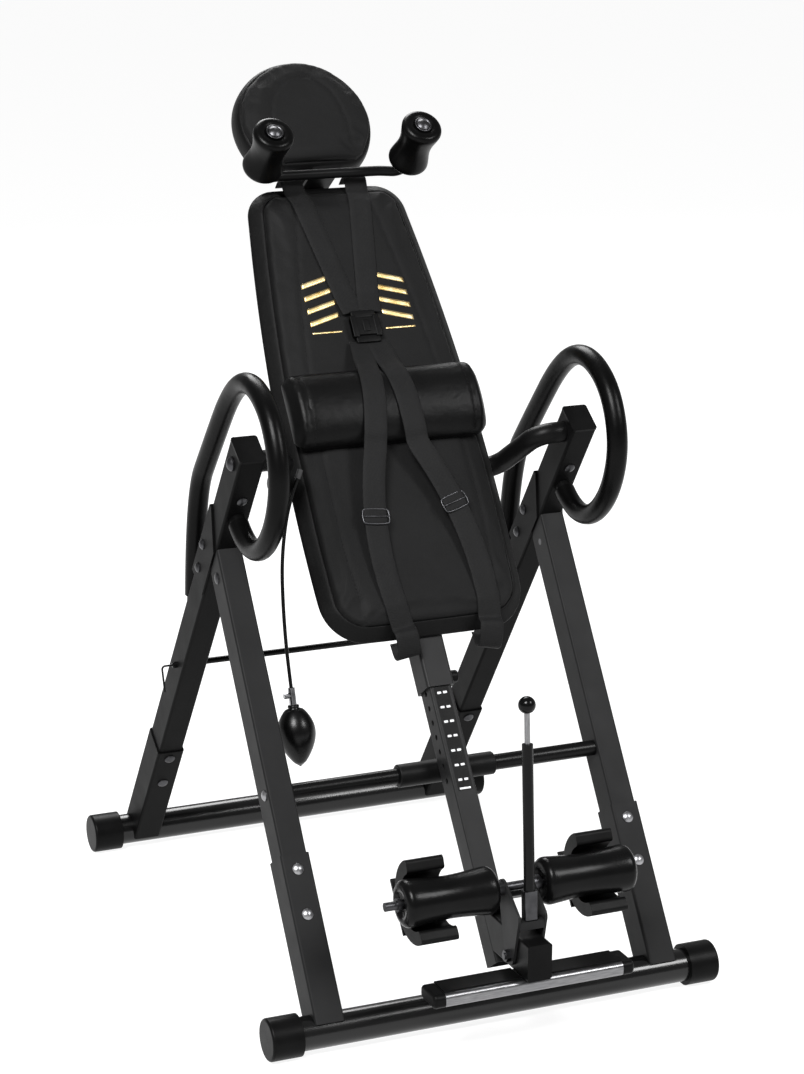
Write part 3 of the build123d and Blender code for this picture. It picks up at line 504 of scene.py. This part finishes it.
def rounded(side, bottom_radius, top_radius, steps=9):
    """Closed outline from its right side, with rounded corners at the bottom and top."""
    s0, s1 = side[0][1], side[-1][1]
    right = []
    centre = (half_at(side, s0 + bottom_radius) - bottom_radius, s0 + bottom_radius)
    for step in range(steps + 1):
        turn = -pi / 2 + pi / 2 * step / steps
        right.append((centre[0] + bottom_radius * cos(turn), centre[1] + bottom_radius * sin(turn)))
    right += [point for point in side if s0 + bottom_radius + 0.01 < point[1] < s1 - top_radius - 0.01]
    centre = (half_at(side, s1 - top_radius) - top_radius, s1 - top_radius)
    for step in range(steps + 1):
        turn = pi / 2 * step / steps
        right.append((centre[0] + top_radius * cos(turn), centre[1] + top_radius * sin(turn)))
    return right + [(-x, s) for x, s in reversed(right)]


def slab(name, outline, bottom, top):
    """Flat-sided solid on an outline."""
    bm = bmesh.new()
    face = bm.faces.new([bm.verts.new((x, s, bottom)) for x, s in outline])
    grown = bmesh.ops.extrude_face_region(bm, geom=[face])
    for item in grown["geom"]:
        if isinstance(item, bmesh.types.BMVert):
            item.co.z = top
    return mesh_of(name, bm)


def remesh(piece, voxel):
    modifier = piece.modifiers.new("voxels", "REMESH")
    modifier.mode = "VOXEL"
    modifier.voxel_size = voxel
    evaluated = piece.evaluated_get(bpy.context.evaluated_depsgraph_get())
    mesh = bpy.data.meshes.new_from_object(evaluated)
    piece.modifiers.remove(modifier)
    piece.data = mesh
    for polygon in mesh.polygons:
        polygon.use_smooth = True


def inflate(piece, pressure, cap, held):
    """Cloth simulation of the cover: held points stay, and no point moves further than cap."""
    group = piece.vertex_groups.new(name="held")
    group.add([v.index for v in piece.data.vertices if held(v.co)], 1.0, "REPLACE")
    rest = [v.co.copy() for v in piece.data.vertices]
    cloth = piece.modifiers.new("cloth", "CLOTH")
    cloth.settings.quality = 5
    cloth.settings.use_pressure = True
    cloth.settings.uniform_pressure_force = pressure
    cloth.settings.vertex_group_mass = "held"
    cloth.settings.effector_weights.gravity = 0
    cloth.settings.tension_stiffness = 15
    cloth.settings.bending_stiffness = 1.0
    cloth.point_cache.frame_start = 1
    cloth.point_cache.frame_end = 20
    scene = bpy.context.scene
    for step in range(1, 21):
        scene.frame_set(step)
    evaluated = piece.evaluated_get(bpy.context.evaluated_depsgraph_get())
    moved = [v.co.copy() for v in evaluated.data.vertices]
    piece.modifiers.remove(cloth)
    for vertex, before, after in zip(piece.data.vertices, rest, moved):
        step = after - before
        vertex.co = before + step * min(1.0, cap / max(step.length, 1e-9))
    piece.vertex_groups.clear()
    scene.frame_set(1)


def subdivide(piece):
    modifier = piece.modifiers.new("smooth", "SUBSURF")
    modifier.levels = modifier.render_levels = 1


def press(piece, depth_at):
    """Presses points of the front in by a depth that depends on where they are."""
    for vertex in piece.data.vertices:
        vertex.co.z -= depth_at(vertex.co)
    piece.data.update()


def valley(distance, depth, width):
    return depth * exp(-((distance / width) ** 2))


def path_distance(point, path):
    """Distance from a point to an open line of (x, s) points."""
    best = 1.0
    for (x0, s0), (x1, s1) in zip(path, path[1:]):
        length = (x1 - x0) ** 2 + (s1 - s0) ** 2
        t = ((point.x - x0) * (x1 - x0) + (point.y - s0) * (s1 - s0)) / max(length, 1e-12)
        t = max(0.0, min(1.0, t))
        best = min(best, hypot(point.x - x0 - t * (x1 - x0), point.y - s0 - t * (s1 - s0)))
    return best


def surface_tree(piece):
    bm = bmesh.new()
    bm.from_mesh(piece.data)
    tree = BVHTree.FromBMesh(bm)
    bm.free()
    return tree


def front_of(tree, x, s, ceiling=0.2):
    """Height of a padded piece's front at (x, s), or None beside it."""
    hit = tree.ray_cast(Vector((x, s, ceiling)), Vector((0, 0, -1)))
    return hit[0].z if hit[0] else None


def on_front(tree, path, floor=-1.0):
    """Points just above a padded front, along a line of (x, s), where the front is higher than floor."""
    points = []
    for x, s in path:
        height = front_of(tree, x, s)
        if height is not None and height > floor:
            points.append(Vector((x, s, height + 0.0003)))
    return points


def seam_x(s):
    """Half distance between the two seams that run down the bed."""
    return 0.118 - 0.33 * max(s - 0.03, 0) ** 1.75 * 0.60 - 0.45 * max(-0.02 - s, 0) ** 2


STITCH_LENGTH, STITCH_PITCH, STITCH_RADIUS = 0.0045, 0.0065, 0.00045


def stitches(name, points, body):
    """A row of stitches along a line of points in the bed's frame."""
    size = Matrix.Diagonal((STITCH_RADIUS, STITCH_RADIUS, STITCH_LENGTH / 2, 1))
    bm = bmesh.new()
    travelled, following = 0.0, 0.0
    for start, end in zip(points, points[1:]):
        run = end - start
        while following < travelled + run.length:
            centre = start + run * ((following - travelled) / run.length)
            turn = run.to_track_quat("Z", "Y").to_matrix().to_4x4()
            place = Matrix.Translation(centre) @ turn @ size
            bmesh.ops.create_icosphere(bm, subdivisions=1, radius=1.0, matrix=place)
            following += STITCH_PITCH
        travelled += run.length
    add_piece(name, mesh_of(name, bm), thread, body, BED)


EASE = 0.007                             # radius of a front panel's edge
PRESSURE = 4.0
HELD_DEPTH = 0.004                       # the cover is held this far up from its back


def front_pad(name, outline, bottom, top, body, node, voxel, cap):
    """Stuffed front panel: remeshed, eased at its edge, then swollen by the cloth simulation."""
    mesh = slab(name, outline, bottom, top)
    piece = add_piece(name, mesh, cushion_fabric, body, BED, [node])
    remesh(piece, voxel)
    edge = outline + outline[:1]

    def rounding(co):
        gap = path_distance(co, edge)
        if co.z < top - EASE or gap > EASE:
            return 0.0
        return 0.8 * (EASE - sqrt(EASE ** 2 - (EASE - gap) ** 2))

    press(piece, rounding)
    inflate(piece, PRESSURE, cap, lambda co: co.z < bottom + HELD_DEPTH)
    return piece


def sew(piece, name, paths, front, depth, width, body):
    """Presses seams into a padded front and lays their stitches along them."""
    press(piece, lambda co: valley(min(path_distance(co, path) for path in paths), depth, width)
          if co.z > front - 0.014 else 0.0)
    subdivide(piece)
    tree = surface_tree(piece)
    for number, path in enumerate(paths):
        stitches(f"{name}_{number + 1}", on_front(tree, path), body)
    return tree


# Sections of the two borders: distance outwards and height.
BORDER = [(-0.018, -0.0350), (-0.004, -0.0350), (0.0010, -0.0348), (0.0030, -0.0335), (0.0034, -0.0315),
          (0.0022, -0.0288), (-0.0015, -0.0250), (-0.0060, -0.0205), (-0.0105, -0.0162), (-0.0145, -0.0130),
          (-0.0180, -0.0120)]


def add_back_cushion():
    low, high = bed_box("back_cushion")
    side_band("bed_border", bed_outline(), BORDER, "bed")
    pad = front_pad("bed_cushion", bed_outline(0.0140), low.z + 0.004, high.z - 0.003, "bed", "back_cushion",
                    0.005, 0.004)
    paths = []
    for side in SIDES:
        seam = [low.y + 0.024 + (high.y - low.y - 0.048) * step / 120 for step in range(121)]
        paths.append([(side * seam_x(s), s) for s in seam])
    return sew(pad, "bed_stitches", paths, high.z, 0.0022, 0.0034, "bed")


def add_lumbar_roll():
    low, high = bed_box("lumbar_pad")
    middle, half = (low.y + high.y) / 2, (high.y - low.y) / 2 - 0.002
    rise, base = high.z - 0.003, low.z
    half_length = high.x - 0.001
    bm = bmesh.new()
    steps, slices = 20, 26
    rows = []
    for index in range(slices + 1):
        t = -1 + 2 * index / slices
        ease = (1 - abs(t) ** 22) ** 0.5
        row = []
        for step in range(steps + 1):
            turn = pi * step / steps
            swell = sin(turn) ** 0.72 if 0 < step < steps else 0.0
            row.append(bm.verts.new((t * half_length, middle + half * cos(turn) * (0.80 + 0.20 * ease),
                                     base + (rise - base) * swell * (0.45 + 0.55 * ease))))
        rows.append(row)
    for row, following in zip(rows, rows[1:]):
        for step in range(steps + 1):
            after = (step + 1) % (steps + 1)
            bm.faces.new((row[step], row[after], following[after], following[step]))
    bm.faces.new(rows[0])
    bm.faces.new(list(reversed(rows[-1])))
    piece = add_piece("lumbar_roll", mesh_of("lumbar_roll", bm), roll_fabric, "bed", BED,
                      ["lumbar_pad"])
    remesh(piece, 0.0045)
    inflate(piece, PRESSURE, 0.003, lambda co: co.z < base + HELD_DEPTH)
    seam = half_length - 0.024
    press(piece, lambda co: valley(abs(co.x) - seam, 0.0025, 0.003) if co.z > base + 0.006 else 0.0)
    subdivide(piece)
    tree = surface_tree(piece)
    for side, name in NAMED_SIDES:
        across = side * (seam - 0.004)
        path = [(across, low.y + 0.006 + (high.y - low.y - 0.012) * step / 59) for step in range(60)]
        stitches(f"roll_stitches_{name}", on_front(tree, path, base + 0.004), "bed")
    return tree


HEAD_S = 0.672                           # the head pad's centre along the bed


def head_outline(shrink=0.0, steps=96):
    """Round head pad with a flat lower edge and eased corners."""
    low, high = bed_box("headrest_cushion")
    half, rise, flat = high.x - shrink, high.y - HEAD_S - shrink, low.y + shrink
    corner = asin((flat - HEAD_S) / rise)
    points = []
    for step in range(steps):
        turn = corner + (pi - 2 * corner) * step / (steps - 1)
        points.append((half * cos(turn), HEAD_S + rise * sin(turn)))
    reach = points[0][0]
    points += [(-reach + 2 * reach * step / 24, flat) for step in range(1, 24)]
    for _ in range(10):
        points = [((a[0] + 2 * b[0] + c[0]) / 4, (a[1] + 2 * b[1] + c[1]) / 4)
                  for a, b, c in zip(points[-1:] + points[:-1], points, points[1:] + points[:1])]
    return points


HEAD_BORDER = [(-0.012, -0.0100), (-0.003, -0.0100), (0.0012, -0.0085), (0.0030, -0.004), (0.0032, 0.006),
               (0.0024, 0.016), (0.0004, 0.0235), (-0.0025, 0.0275), (-0.0065, 0.0285), (-0.010, 0.0265),
               (-0.012, 0.020), (-0.012, 0.004)]


def add_headrest():
    low, high = bed_box("headrest_cushion")
    section = [(out, low.z + height) for out, height in HEAD_BORDER]
    side_band("head_border", head_outline(), section, "headrest")
    pad = front_pad("head_cushion", head_outline(0.0025), low.z + 0.012, high.z - 0.004, "headrest",
                    "headrest_cushion", 0.0045, 0.006)
    arch = [(0.066, -0.045), (0.062, 0.0), (0.050, 0.040), (0.026, 0.066), (0.0, 0.074)]
    arch = [Vector((x, HEAD_S + s, 0)) for x, s in arch + [(-x, s) for x, s in reversed(arch[:-1])]]
    path = [(point.x, point.y) for point in catmull(arch, 12)]
    sew(pad, "head_stitches", [path], high.z, 0.0020, 0.0030, "headrest")


# ---- foam rollers and grips ----------------------------------------------------------------------
def barrel_profile(length, bore, outer, waist, shoulder=0.010, recess=0.0025):
    """Half section of a foam roller: recessed end rings, round shoulders and a slimmer middle."""
    end = [(recess, bore), (recess, outer * 0.50), (0.0, outer * 0.56), (0.0, outer - shoulder)]
    for step in range(1, 7):
        turn = pi / 2 * step / 6
        end.append((shoulder * (1 - cos(turn)), outer - shoulder + shoulder * sin(turn)))
    barrel = []
    for step in range(1, 20):
        t = step / 20
        along = shoulder + (length - 2 * shoulder) * t
        barrel.append((along, outer - (outer - waist) * sin(pi * t) ** 1.3))
    return end + barrel + [(length - along, radius) for along, radius in reversed(end)] + [(recess, bore)]


def add_rollers():
    for side, name in NAMED_SIDES:
        node = f"ankle_roller_{name}"
        low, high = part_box(node)
        length = high.x - low.x
        outer = (high.z - low.z) / 2
        start = Vector((low.x if side > 0 else high.x, SHAFT.y, SHAFT.z))
        place = axis_place(start, (side, 0, 0))
        profile = barrel_profile(length, 0.0066, outer, outer * 0.885, 0.011)
        mesh = lathe(f"roller_foam_{name}", profile, place, 80)
        piece = add_piece(mesh.name, mesh, roller_foam, f"roller_{name}", replaces=[node])


def grip_ends(side):
    """Front and rear end of a shoulder grip's axis."""
    return bed_world(side * 0.123, 0.571, 0.130), bed_world(side * 0.1222, 0.5535, 0.041)


def add_shoulder_grips():
    bm = bmesh.new()
    for side in SIDES:
        front, rear = grip_ends(side)
        profile = barrel_profile((rear - front).length, 0.0083, 0.0320, 0.0262, 0.009, 0.0018)
        bm.from_mesh(lathe("grip", profile, axis_place(front, rear - front)))
    piece = add_piece("shoulder_foam", mesh_of("shoulder_foam", bm), grip_foam, "bed",
                      replaces=["shoulder_grips"])
    washer = [(-0.001, 0.0), (-0.001, 0.0135), (0.0012, 0.0135), (0.0016, 0.0128), (0.0016, 0.0112),
              (0.0006, 0.0106), (0.0006, 0.0)]
    for side, name in NAMED_SIDES:
        front, rear = grip_ends(side)
        mesh = lathe(f"grip_washer_{name}", washer, axis_place(front, (front - rear).normalized()), 48)
        add_piece(f"grip_washer_{name}", mesh, dark_zinc, "bed")


# The handle tube's route in y and z.
HANDLE_ROUTE = [(0.1875, 0.470), (0.1755, 0.692), (0.0965, 0.786), (0.0005, 0.896), (-0.0795, 0.925),
                (-0.1585, 0.890), (-0.1955, 0.811), (-0.1755, 0.732), (-0.1195, 0.676), (-0.0535, 0.668),
                (0.0145, 0.718)]


def add_handle_grips():
    route = [Vector((0, y, z)) for y, z in HANDLE_ROUTE]
    first = route[0].lerp(route[1], 0.26)
    last = route[-2].lerp(route[-1], 0.5)
    low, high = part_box("rear_leg_right")
    leg_x = (low.x + high.x) / 2
    for side, name in NAMED_SIDES:
        points = [Vector((side * leg_x, p.y, p.z)) for p in [first] + route[1:-1] + [last]]
        curve = nurbs(f"handle_foam_{name}", points, 0.0158, resolution=16)
        curve.bevel_resolution = 10
        holder = bpy.data.objects.new("holder", curve)
        mesh = bpy.data.meshes.new_from_object(holder)
        bpy.data.objects.remove(holder)
        bpy.data.curves.remove(curve)
        mesh.name = f"handle_foam_{name}"
        piece = add_piece(mesh.name, mesh, grip_foam, "rear_frame", replaces=["handle_grips"])


# ---- harness -------------------------------------------------------------------------------------
WEB_WIDTH, WEB_THICKNESS = 0.037, 0.0016


def taut(line):
    """The heights of a line pulled tight: it bridges the hollows that it passes over."""
    kept = []
    for index, point in enumerate(line):
        while len(kept) > 1:
            (first, low), (middle, high) = kept[-2:]
            if (high - low) * (index - first) > (point.z - low) * (middle - first):
                break
            kept.pop()
        kept.append((index, point.z))
    heights = []
    for (first, low), (last, high) in zip(kept, kept[1:]):
        heights += [low + (high - low) * step / (last - first) for step in range(last - first)]
    return heights + [kept[-1][1]]


def ribbon(bm, points, out, width=WEB_WIDTH, thickness=WEB_THICKNESS):
    """Webbing along a line in the bed's frame; out is the way its face looks at the first point."""
    rows = []
    for index, point in enumerate(points):
        along = (points[min(index + 1, len(points) - 1)] - points[max(index - 1, 0)]).normalized()
        out = (out - along * out.dot(along)).normalized()
        across = along.cross(out)
        section = []
        for share, lift in ((-1, 0), (-0.93, 1), (-0.5, 0.92), (0, 0.9), (0.5, 0.92), (0.93, 1), (1, 0),
                            (0.93, -1), (0, -0.9), (-0.93, -1)):
            section.append(bm.verts.new(point + across * (share * width / 2) + out * (lift * thickness / 2)))
        rows.append(section)
    count = len(rows[0])
    for row, following in zip(rows, rows[1:]):
        for index in range(count):
            after = (index + 1) % count
            bm.faces.new((row[index], row[after], following[after], following[index]))
    bm.faces.new(rows[0])
    bm.faces.new(list(reversed(rows[-1])))


STRAP_GAP = 0.014                        # from the middle to each strap at the buckle
BUCKLE_REACH = 0.026                     # from the buckle's middle to where the straps meet it
CREST_S = 0.085                          # the lumbar roll's crest
TENSION = 0.8                            # from 0, lying on the pads, to 1, pulled tight over them
UPPER_END = ((0.0125, -0.0330), (0.0150, -0.0200), (0.0140, -0.0125), (0.0085, -0.0075))
LOWER_END = ((-0.0010, 0.014, -0.0040), (-0.0025, 0.001, -0.0085), (-0.0040, -0.011, -0.0165),
             (-0.0050, -0.017, -0.0265), (-0.0055, -0.010, -0.0370), (-0.0055, 0.012, -0.0405))


def add_straps(height_at, buckle_s):
    """The four straps of the harness; returns the lines of the two lower ones by side."""
    low, high = bed_box("harness_straps")
    bm, lower = bmesh.new(), {}
    for side, top_x, roll_x, tail_x in ((-1, 0.058, 0.040, 0.050), (1, 0.050, 0.030, 0.092)):
        top = Vector((side * top_x, high.y - 0.001, 0))
        join = Vector((side * STRAP_GAP, buckle_s + BUCKLE_REACH, 0))
        line = []
        for step in range(0, 21):
            share = step / 20
            point = top.lerp(join, share)
            rise = 0.0012 * max(0.0, 1 - share / 0.10) + 0.0045 * max(0.0, (share - 0.86) / 0.14)
            line.append(Vector((point.x, point.y, min(height_at(point.x, point.y, 0.0014) + rise, 0.012))))
        over = [Vector((top.x, high.y + ds, n)) for ds, n in UPPER_END]
        ribbon(bm, catmull(over + line[1:], 4), Vector((0, 1, 0)))

        start = Vector((side * STRAP_GAP, buckle_s - BUCKLE_REACH, 0))
        crest = Vector((side * roll_x, CREST_S, 0))
        end = Vector((side * tail_x, low.y + 0.024, 0))
        line = []
        for step in range(0, 57):
            share = step / 56
            s = start.y + (end.y - start.y) * share
            if s > crest.y:
                x = start.x + (crest.x - start.x) * (start.y - s) / (start.y - crest.y)
            else:
                fall = (crest.y - s) / (crest.y - end.y)
                x = crest.x + (end.x - crest.x) * fall + side * 0.078 * fall * (1 - fall)
            lift = 0.0016 + 0.0035 * max(0.0, 1 - share / 0.05)
            line.append(Vector((x, s, height_at(x, s, lift))))
        smooth = [(a + 2 * b + c) / 4 for a, b, c in zip(line, line[1:], line[2:])]
        raised = [Vector((p.x, p.y, max(p.z, q.z))) for p, q in zip([line[0]] + smooth + [line[-1]], line)]
        lower[side] = [Vector((p.x, p.y, p.z + TENSION * (height - p.z)))
                       for p, height in zip(raised, taut(raised))]
        tail = [Vector((end.x + side * dx, low.y + ds, n)) for dx, ds, n in LOWER_END]
        ribbon(bm, catmull(lower[side] + tail, 3), Vector((0, 0, 1)))
    add_piece("harness_webbing", mesh_of("harness_webbing", bm), webbing, "bed", BED,
              ["harness_straps"])
    return lower


def add_clasp(buckle_s):
    """Moulded buckle: its body, two strap bars, two side rails and a push button."""
    bm = bmesh.new()
    parts = (((0.048, 0.030, 0.0095), (0, 0, 0.0080)), ((0.040, 0.012, 0.0060), (0, 0.021, 0.0075)),
             ((0.040, 0.012, 0.0060), (0, -0.021, 0.0075)), ((0.010, 0.036, 0.0070), (0.019, 0, 0.0095)),
             ((0.010, 0.036, 0.0070), (-0.019, 0, 0.0095)), ((0.012, 0.020, 0.0100), (0, 0, 0.0090)))
    for size, (x, ds, n) in parts:
        place = Matrix.Translation((x, buckle_s + ds, n)) @ Matrix.Diagonal((*size, 1))
        made = bmesh.ops.create_cube(bm, size=1.0, matrix=place)
        edges = list({edge for vertex in made["verts"] for edge in vertex.link_edges})
        bmesh.ops.bevel(bm, geom=edges, offset=0.0016, segments=3, affect="EDGES", profile=0.6)
    add_piece("harness_clasp", mesh_of("harness_clasp", bm), black_plastic, "bed", BED,
              ["harness_buckles"])


ADJUSTER_HALF_X, ADJUSTER_HALF_S, ADJUSTER_CORNER = 0.0212, 0.0122, 0.004


def add_wire(name, points, radius, closed=True):
    """Bent zinc wire on the bed."""
    curve = nurbs(name, points, radius, closed, 6)
    curve.bevel_resolution = 3
    curve.materials.append(dark_zinc)
    wire = bpy.data.objects.new(name, curve)
    bpy.context.scene.collection.objects.link(wire)
    wire.matrix_world = BED
    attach(wire, "bed")


def add_adjusters(lower):
    """A wire ring and its bar on each lower strap."""
    half_x, half_s, corner = ADJUSTER_HALF_X, ADJUSTER_HALF_S, ADJUSTER_CORNER
    loop = [(half_x, -half_s + corner), (half_x, half_s - corner), (half_x - corner, half_s),
            (-half_x + corner, half_s), (-half_x, half_s - corner), (-half_x, -half_s + corner),
            (-half_x + corner, -half_s), (half_x - corner, -half_s)]
    for side, name, s in ((-1, "left", -0.022), (1, "right", -0.012)):
        line = lower[side]
        place = min(range(1, len(line) - 1), key=lambda index: abs(line[index].y - s))
        before, here, after = line[place - 1:place + 2]
        x, n = here.x, here.z + 0.0014
        turn = atan((after.x - before.x) / (before.y - after.y))
        across = (cos(turn), sin(turn))
        ring = [(x + px * across[0] - py * across[1], s + px * across[1] + py * across[0], n)
                for px, py in loop]
        add_wire(f"strap_adjuster_{name}", ring, 0.0013)
        bar = [(x - across[0] * half_x, s - across[1] * half_x, n), (x, s, n + 0.0002),
               (x + across[0] * half_x, s + across[1] * half_x, n)]
        add_wire(f"adjuster_bar_{name}", bar, 0.0011, closed=False)


def add_harness(cushion_tree, roll_tree):
    buckle_s = bed_box("harness_buckles")[1].y - 0.025

    def height_at(x, s, lift):
        heights = [front_of(tree, x + dx, s)
                   for tree in (cushion_tree, roll_tree) for dx in (-0.016, 0.0, 0.016)]
        heights = [height for height in heights if height is not None]
        return max(heights + [-0.0100]) + lift

    lower = add_straps(height_at, buckle_s)
    add_clasp(buckle_s)
    add_adjusters(lower)


# ---- printed marks -------------------------------------------------------------------------------
def patch(bm, centre_x, centre_s, width, height, height_at, cells=(10, 3), corner=0.25, slope=0.0):
    """A thin printed bar that follows the surface below it; it may fall towards the bed's sides."""
    grid = []
    for row in range(cells[1] + 1):
        line = []
        for column in range(cells[0] + 1):
            u, v = -1 + 2 * column / cells[0], -1 + 2 * row / cells[1]
            pinch = 1 - corner * height / width * (abs(v) ** 3)
            x = centre_x + u * pinch * width / 2
            s = centre_s + v * height / 2 - slope * (abs(x) - abs(centre_x))
            line.append(bm.verts.new((x, s, height_at(x, s))))
        grid.append(line)
    for row, following in zip(grid, grid[1:]):
        for column in range(cells[0]):
            bm.faces.new((row[column], row[column + 1], following[column + 1], following[column]))


def thicken(bm, depth):
    bmesh.ops.recalc_face_normals(bm, faces=bm.faces)
    bmesh.ops.solidify(bm, geom=bm.faces[:], thickness=depth)


BAR_X, BAR_WIDTH, BAR_PITCH = 0.061, 0.050, 0.0215
SCALE_PITCH, SCALE_ROWS = 0.0227, 7


def add_prints(cushion_tree):
    """Plain gold bars on the bed, and the white rows of the height scale."""
    bm = bmesh.new()

    def cushion_height(x, s):
        return front_of(cushion_tree, x, s) + 0.0005

    for side in SIDES:
        for row in range(4):
            patch(bm, side * BAR_X, 0.312 + BAR_PITCH * row, BAR_WIDTH, 0.0085, cushion_height, (14, 3),
                  0.0, 0.28)
        patch(bm, side * BAR_X, 0.290, BAR_WIDTH, 0.0028, cushion_height, (14, 2), 0.0)
    thicken(bm, 0.0003)
    add_piece("gold_bars", mesh_of("gold_bars", bm), gold, "bed", BED)

    low, high = bed_box("scale_strip")
    face = high.z + 0.00006                  # the sleeve passes 0.15 mm above the strip
    bm = bmesh.new()
    for row in range(SCALE_ROWS):
        s = low.y + 0.004 + SCALE_PITCH * (row + 0.55)
        for side in SIDES:
            patch(bm, side * 0.0048, s, 0.0066, 0.0034, lambda x, y: face, (3, 2))
    patch(bm, 0.0, low.y + 0.003, 0.018, 0.0028, lambda x, y: face, (4, 2))
    thicken(bm, 0.00005)
    add_piece("scale_marks", mesh_of("scale_marks", bm), white_print, "boom", BED,
              smooth=False)


# ---- scene ---------------------------------------------------------------------------------------
add_camera()
add_air_line()
add_studio()
dress_cad_nodes()
cushion_tree = add_back_cushion()
roll_tree = add_lumbar_roll()
add_headrest()
add_rollers()
add_shoulder_grips()
add_handle_grips()
add_harness(cushion_tree, roll_tree)
add_prints(cushion_tree)
